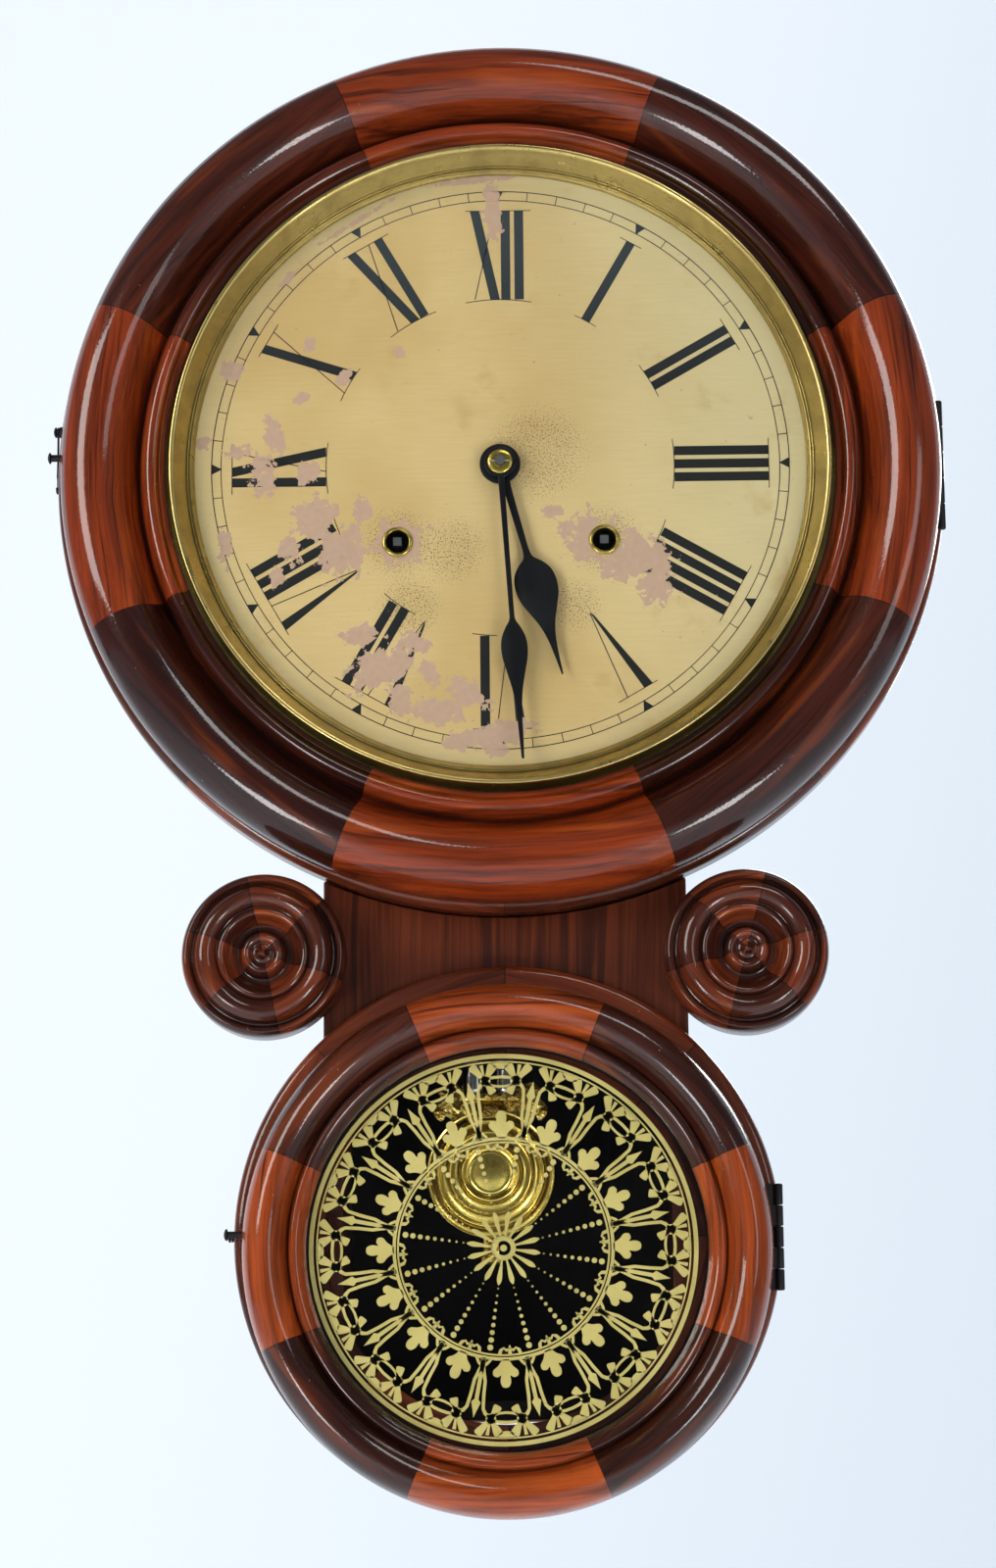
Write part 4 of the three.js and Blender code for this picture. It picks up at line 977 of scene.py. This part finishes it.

# ------------------------------------------------------------------ pendulum
bob = (
    [(0, -60), (24.2, -60)]
    + spline([(25.6, -60.4), (26.4, -61.4), (26.5, -62.3), (26.2, -62.9), (25.7, -62.8)], 4)
    + spline([(25.3, -62.6), (24.2, -63.2), (23.2, -64.0)], 3)
    + spline([(22.9, -64.6), (22.3, -65.9), (21.5, -66.3), (20.8, -65.9)], 4)
    + spline([(20.3, -65.2), (19.0, -65.5), (17.6, -66.3)], 3)
    + spline([(17.3, -66.9), (16.8, -67.3), (16.2, -67.0)], 3)
    + spline([(15.9, -66.7), (14.4, -66.9), (12.9, -67.8)], 3)
    + spline([(12.6, -68.7), (12.0, -69.6), (11.2, -69.9), (10.5, -69.3)], 4)
    + spline([(10.1, -68.6), (9.0, -68.2), (8.2, -68.5)], 3)
    + spline([(7.8, -68.4), (5.0, -69.1), (2.4, -69.5), (0, -69.6)], 3)
)
lathe("pendulum_bob_fine", bob, 128, B_BOB, "pendulum", "polished_brass", cx=PEND_X, cz=BOB_Z, closed=False, replaces=["pendulum_bob"])

# the frame that carries the bob: straps, bars, pierced leaves and silvered cylinders
PX = PEND_X


def leaf_outline(s):
    """one side's scrolled leaf ornament between the straps and the bob, seen from the front"""
    base = [(3.2, -253.0), (6.5, -252.6), (9.5, -253.6), (11.4, -256.2), (13.6, -254.4), (16.6, -253.6), (19.6, -254.6), (21.6, -257.2), (20.4, -259.8), (22.4, -261.8), (23.8, -265.0), (22.6, -268.2), (19.8, -269.6), (18.6, -267.4), (16.6, -268.8), (15.8, -272.2), (13.0, -274.6), (9.6, -275.6), (5.6, -275.9), (3.2, -275.9)]
    pts_ = spline(base, 4)
    return [(PX + s * x, z) for x, z in pts_]


py0, py1 = PEND_Y + 3.7, PEND_Y + 2.5
pf = []
for s in (-1, 1):
    pf.append(prism(leaf_outline(s), py0, py1))
    # raised veins and scrolls on the leaves
    for a, b, c in (((5, -274), (10, -266), (19, -257.5)), ((6, -274.5), (13, -268.5), (21.5, -265)), ((5, -266), (9, -260), (14, -256.5))):
        path = spline([(PX + s * q[0], py1 - 0.25, q[1]) for q in (a, b, c)], 6)
        pf.append(tube(path, [0.75 - 0.4 * k / (len(path) - 1) for k in range(len(path))], 8))
    for cx, cz, rr in ((20.6, -257.6, 1.3), (22.2, -265.6, 1.4), (11.2, -254.9, 1.1), (14.4, -272.4, 1.2)):
        pf.append(tube([(PX + s * cx, py1 + 0.1, cz), (PX + s * cx, py1 - 0.7, cz), (PX + s * cx, py1 - 0.95, cz)], [rr, rr * 0.9, rr * 0.45], 16))
    # strap with rounded corners, with a bead down its middle
    pf.append(box_data(PX + s * 5.15, PX + s * 8.25, PEND_Y + 2.2, PEND_Y + 0.4, -262, -164))
    pf.append(tube([(PX + s * 6.7, PEND_Y + 0.35, -258), (PX + s * 6.7, PEND_Y + 0.35, -166)], 0.55, 10))
pf.append(box_data(PX - 12.6, PX + 12.6, PEND_Y + 2.0, PEND_Y - 3.2, -243.6, -241.0))
pf.append(box_data(PX - 12.6, PX + 12.6, PEND_Y + 2.0, PEND_Y - 3.2, -261.6, -258.4))
for zz in (-242.3, -260.0):
    for s in (-1, 1):
        pf.append(tube([(PX + s * 11.0, PEND_Y - 1.7, zz), (PX + s * 11.0, PEND_Y - 2.6, zz)], [1.0, 0.7], 12))
# yoke, crosspiece and the tail with the lug of the rating nut
pf.append(box_data(PX - 6.4, PX - 3.8, PEND_Y - 1.2, PEND_Y + 1.2, -169, -152.8))
pf.append(box_data(PX + 3.8, PX + 6.4, PEND_Y - 1.2, PEND_Y + 1.2, -169, -152.8))
pf.append(box_data(PX - 6.4, PX + 6.4, PEND_Y - 1.2, PEND_Y + 1.2, -170, -160.6))
pf.append(tube([(PX - 6.6, PEND_Y, -156.6), (PX + 6.6, PEND_Y, -156.6)], 1.25, 16))
pf.append(box_data(PX - 11, PX + 11, PEND_Y - 1.5, PEND_Y + 1.5, -169, -163.5))
pf.append(box_data(PX - 3.2, PX + 3.2, PEND_Y + 2.5, PEND_Y + 3.8, -324.4, -259))
for a, b in ((-3.2, -1.1), (1.1, 3.2)):
    pf.append(box_data(PX + a, PX + b, PEND_Y - 2.6, PEND_Y + 3.0, -324.4, -322.3))
# a turned dome where the frame meets the bob, and shells at the ends of the bars
dome = [(0, -56.0), (7.2, -56.0)] + spline([(7.4, -57.6), (7.0, -60.4), (5.6, -63.0), (3.4, -64.8), (0, -65.4)], 4)
vd, fd = lathe_data(dome, 40, PX, -266.6, False)
pf.append((vd, fd))
frame_ob = bevel(obj("pendulum_frame_fine", *merge(pf), B_LEAF, "pendulum", "polished_brass", replaces=["pendulum_frame"]), 0.22, 2, 50)
for side, s in (("left", -1), ("right", 1)):
    cyl = [(PX + s * 6.9, PEND_Y, z) for z in (-258.2, -257.6, -256.8, -250, -245.2, -244.4, -243.8)]
    obj("pendulum_cylinder_" + side + "_fine", *tube(cyl, [4.0, 4.45, 4.6, 4.6, 4.6, 4.45, 4.0], 48), SILVER, "pendulum", "silvered", replaces=["pendulum_cylinder_" + side])
# knurled rating nut on its screw
nz0, nz1 = -328.4, -324.8
prof = []
vn, fn = [], []
K = 36
for j, (zz, rr) in enumerate(((nz0, 3.5), (nz0 + 0.5, 4.2), (nz1 - 0.5, 4.2), (nz1, 3.6))):
    for k in range(2 * K):
        q = rr * (1.0 if k % 2 or j in (0, 3) else 0.955)
        vn.append((PX + q * math.cos(PI * k / K), PEND_Y + q * math.sin(PI * k / K), zz))
for j in range(3):
    for k in range(2 * K):
        fn.append([j * 2 * K + k, j * 2 * K + (k + 1) % (2 * K), (j + 1) * 2 * K + (k + 1) % (2 * K), (j + 1) * 2 * K + k])
fn += [list(range(2 * K))[::-1], [6 * K + k for k in range(2 * K)]]
screw = [(PX, PEND_Y, nz1 + 0.2 + 0.1 * i) for i in range(64)]
obj("rating_nut_fine", *merge([(vn, fn), tube(screw, [0.92 if (i % 4) < 2 else 0.72 for i in range(64)], 16)]), B_FRAME, "nut", "polished_brass", replaces=["rating_nut"], smooth=30)

# ------------------------------------------------------------------ hooks, pins, hinges
def strap_hook(name, node, piv_y, piv_z, xo, thick, turn, side, length, body):
    """a flat wrought strip with an eye on the screw and a notch that drops over the pin"""
    shape = spline([(-1.1, 1.9), (0, 2.2), (1.1, 1.9), (2.0, 1.0), (2.15, 0), (1.7, -1.8), (1.15, -3.4), (1.0, -length * 0.5), (1.2, -length + 4.6), (1.9, -length + 2.6), (2.1, -length), (2.0, -length - 2.6), (0.9, -length - 4.2), (-0.8, -length - 4.6), (-2.4, -length - 4.2), (-3.3, -length - 3.2)], 3)
    shape += [(-3.1, -length - 2.3), (-1.4, -length - 2.2)] + spline([(-0.2, -length - 1.8), (0.1, -length), (-0.2, -length + 1.8)], 3) + [(-1.6, -length + 2.3), (-1.2, -length + 4.8), (-1.0, -length * 0.5), (-1.15, -3.4), (-1.7, -1.8), (-2.1, 0), (-1.9, 1.0)]
    c, sn = math.cos(turn), math.sin(turn)
    out = [(piv_y + a * side * c - b * sn, piv_z + a * side * sn + b * c) for a, b in shape]
    n = len(out)
    verts = [(xo, y, z) for y, z in out] + [(xo - thick, y, z) for y, z in out]
    faces = [list(range(n)), list(range(2 * n - 1, n - 1, -1))] + [[i, (i + 1) % n, n + (i + 1) % n, n + i] for i in range(n)]
    bevel(obj(name, verts, faces, IRON, body, "black_iron", replaces=[node], smooth=0), 0.25, 2, 50)


strap_hook("upper_catch_hook_fine", "upper_catch_hook", -83.0, 22.0, -187.0, 0.7, 0.0, 1, math.hypot(16, 16), "upper_hook")
strap_hook("lower_catch_hook_fine", "lower_catch_hook", -84.0, -317.8, -111.0, 0.8, PI / 2, -1, 15.0, "lower_hook")


def head(name, node, path, radii, slot_dir, body):
    v, f = tube(path, radii, 28)
    obj(name, v, f, IRON, body, "black_iron", replaces=[node], smooth=35)


# round pins on the doors, with domed heads and a neck
head("upper_catch_pin_fine", "upper_catch_pin", [(x, -99.0, 6.0) for x in (-180, -187.9, -188.05, -188.2, -188.6, -189.0, -189.3)], [1.5, 1.5, 2.1, 2.4, 2.3, 1.8, 0.8], 0, "upper_door")
head("lower_catch_pin_fine", "lower_catch_pin", [(x, -99.0, -317.8) for x in (-103.5, -112.0, -112.15, -112.4, -112.8, -113.2, -113.5)], [1.4, 1.4, 2.2, 2.4, 2.3, 1.8, 0.8], 0, "lower_door")
for nm, (yy, zz), xo, th, xs in (("upper", (-83.0, 22.0), -186.9, 0.9, -178), ("lower", (-84.0, -317.8), -110.9, 1.0, -102)):
    a = xo - th - 0.15
    p1 = tube([(x, yy, zz) for x in (xs, xo + 0.2, xo + 0.1)], [1.15, 1.2, 1.2], 20)
    p2 = tube([(x, yy, zz) for x in (xo + 0.2, a, a - 0.1, a - 0.5, a - 0.95, a - 1.3)], [1.2, 1.2, 2.2, 2.3, 1.9, 0.9], 28)
    p3 = tube([(x, yy, zz) for x in (xs - 4.3, xo + 0.2)], [2.35, 2.35], 20)
    obj(nm + "_catch_screw_fine", *merge([p1, p2, p3]), IRON, "case", "black_iron", replaces=[nm + "_catch_screw"], smooth=35)


def hinge(prefix, x0, hx, z0, z1, door_body):
    """a butt hinge: five knuckles with rounded ends, and flat leaves"""
    n, gap, hy, rr = 5, 0.15, -92.25, 1.78
    ln = (z1 - z0) / n
    parts_ = {0: [], 1: []}
    for i in range(n):
        a, b = z0 + i * ln + (gap if i else 0), z0 + (i + 1) * ln - (gap if i < n - 1 else 0)
        parts_[i % 2].append(tube([(hx, hy, zz) for zz in (a, a + 0.25, a + 0.5, b - 0.5, b - 0.25, b)], [rr - 0.35, rr - 0.08, rr, rr, rr - 0.08, rr - 0.35], 24))
        y0_, y1_ = (-92.1, -90.8) if i % 2 == 0 else (-93.7, -92.4)
        parts_[i % 2].append(box_data(x0 + 3, hx - 1.2, y0_, y1_, a, b))
    parts_[0].append(box_data(x0, hx - 2.4, -92.05, -90.85, z0, z1))
    parts_[1].append(box_data(x0, hx - 2.4, -93.65, -92.45, z0, z1))
    # the pin's rounded ends
    parts_[0].append(tube([(hx, hy, zz) for zz in (z0 - 0.1, z0 + 0.4)], [0.8, 1.0], 16))
    for k, (nm2, body) in enumerate((("case_leaf", "case"), ("door_leaf", door_body))):
        obj(prefix + "_hinge_" + nm2 + "_fine", *merge(parts_[k]), IRON, body, "black_iron", replaces=[prefix + "_hinge_" + nm2], smooth=35)


hinge("upper", 169.0, 184.0, -27.5, 28.0, "upper_door")
hinge("lower", 96.0, 109.2, -341.5, -299.0, "lower_door")

# ------------------------------------------------------------------ gilt stencil on the back of the lower pane
SC = (-1.5, -324.1)
SY0, SY1 = -99.78, -99.70
GP = []


def sp(t, r, ang):
    q = polar(t, r, ang)
    return (SC[0] + q[0], SC[1] + q[1])


def gold(pts_, ang):
    GP.append(prism([sp(t, r, ang) for t, r in pts_], SY0, SY1))


def gold_line(path, w, ang):
    """a strip of varying width along points"""
    left, right = [], []
    for i, (t, r) in enumerate(path):
        a, b = path[max(i - 1, 0)], path[min(i + 1, len(path) - 1)]
        dx, dz = b[0] - a[0], b[1] - a[1]
        L = math.hypot(dx, dz)
        h = (w[i] if isinstance(w, (list, tuple)) else w) / 2
        left.append((t - dz / L * h, r + dx / L * h))
        right.append((t + dz / L * h, r - dx / L * h))
    gold(left + right[::-1], ang)


def gold_ring(r0, r1, n=240, cx=SC[0], cz=SC[1]):
    v, f = [], []
    for i in range(n):
        s_, c_ = math.sin(2 * PI * i / n), math.cos(2 * PI * i / n)
        v += [(cx + r0 * s_, SY0, cz + r0 * c_), (cx + r0 * s_, SY1, cz + r0 * c_), (cx + r1 * s_, SY1, cz + r1 * c_), (cx + r1 * s_, SY0, cz + r1 * c_)]
    for i in range(n):
        a, b = 4 * i, 4 * ((i + 1) % n)
        f += [[a + 1, a + 2, b + 2, b + 1], [a, b, b + 3, a + 3], [a, a + 1, b + 1, b], [a + 2, a + 3, b + 3, b + 2]]
    GP.append((v, f))


def gold_dot(t, r, rad, ang, n=14):
    GP.append(prism([sp(t + rad * math.cos(2 * PI * i / n), r + rad * math.sin(2 * PI * i / n), ang) for i in range(n)], SY0, SY1))


gold_ring(76.1, 77.9)
gold_ring(74.4, 75.0)
gold_ring(43.1, 44.4)
gold_ring(41.9, 42.6)
for k in range(16):
    fan = math.radians(-1.2 + 22.5 * k + 0.7)
    # three-lobed fan on the inner circle
    gold(spline([(-1.3, 43.8), (-2.9, 46.4), (-4.9, 48.2), (-4.9, 50.2), (-3.2, 50.9), (-1.9, 50.2), (-2.1, 52.8), (-1.1, 54.8), (1.1, 54.8), (2.1, 52.8), (1.9, 50.2), (3.2, 50.9), (4.9, 50.2), (4.9, 48.2), (2.9, 46.4), (1.3, 43.8)], 4), fan)
    for s in (-1, 1):
        # a flower of club-shaped lobes each side of the fan
        for (t, r), w in (((12.0, 73.0), 3.3), ((3.0, 73.6), 3.7), ((3.1, 62.0), 3.3)):
            gold_line([(s * 6.2, 67.0), (s * (6.2 + 0.35 * (t - 6.2)), 67.0 + 0.35 * (r - 67.0)), (s * (6.2 + 0.8 * (t - 6.2)), 67.0 + 0.8 * (r - 67.0)), (s * (6.2 + 0.94 * (t - 6.2)), 67.0 + 0.94 * (r - 67.0)), (s * t, r)], [1.9, 2.1, w, w, w * 0.6], fan)
        gold_line([(s * 6.3, 67.0), (s * 7.2, 70.6), (s * 7.8, 73.4)], [0.8, 1.0, 1.5], fan)
        gold_line([(s * 6.0, 67.0), (s * 8.4, 65.0), (s * 9.2, 63.2), (s * 8.9, 58.0), (s * 8.2, 52.2), (s * 8.9, 47.2), (s * 9.0, 43.8)], [1.9, 1.5, 1.3, 1.3, 1.3, 1.6, 1.8], fan)
        gold_dot(s * 6.2, 67.0, 2.1, fan)
    gold_line([(-6.2, 67.6), (-3, 68.4), (0, 68.6), (3, 68.4), (6.2, 67.6)], 1.2, fan)
    gold_line([(-5.0, 65.6), (-2.5, 64.9), (0, 64.7), (2.5, 64.9), (5.0, 65.6)], 1.0, fan)
    gold(spline([(-3.6, 74.6), (-2.6, 72.6), (0, 71.9), (2.6, 72.6), (3.6, 74.6)], 3), fan)
    # a spear between the fans
    spear = fan + math.radians(11.25)
    gold([(-1.0, 43.8), (-0.75, 52), (-0.8, 60.4), (-1.9, 61.6), (-0.9, 64.6), (0, 67.8), (0.9, 64.6), (1.9, 61.6), (0.8, 60.4), (0.75, 52), (1.0, 43.8)], spear)
    gold_line([(-2.9, 44.2), (-1.6, 46.2), (0, 47.4), (1.6, 46.2), (2.9, 44.2)], 1.1, spear)
    # inside the circle: petals, dotted rays and small brackets
    ray = math.radians(8.2 + 22.5 * k)
    gold(spline([(-0.35, 4.4), (-0.5, 7.0), (-0.85, 10.0), (-1.05, 12.4), (-0.7, 13.8), (0, 14.9), (0.7, 13.8), (1.05, 12.4), (0.85, 10.0), (0.5, 7.0), (0.35, 4.4)], 2), ray)
    for i in range(9):
        u = i / 8
        gold_dot(0, 16.2 + 23.4 * (u ** 1.02), 0.34 + 0.85 * u, ray)
    br = ray + math.radians(11.25)
    for s in (-1, 1):
        gold_line([(0, 39.6), (s * 1.4, 40.4), (s * 2.4, 39.4), (s * 3.6, 40.2), (s * 4.2, 41.9)], [0.7, 1.1, 0.8, 1.3, 1.4], br)
    gold_line([(0, 42.2), (0, 40.2), (0, 38.4)], [1.6, 1.2, 0.5], br)
gold_ring(2.9, 4.9, 48)
gold_dot(0, 0, 1.35, 0.0, 20)
obj("tablet_gilding", *merge(GP), GILT, "lower_door", "clear_glass", smooth=0)
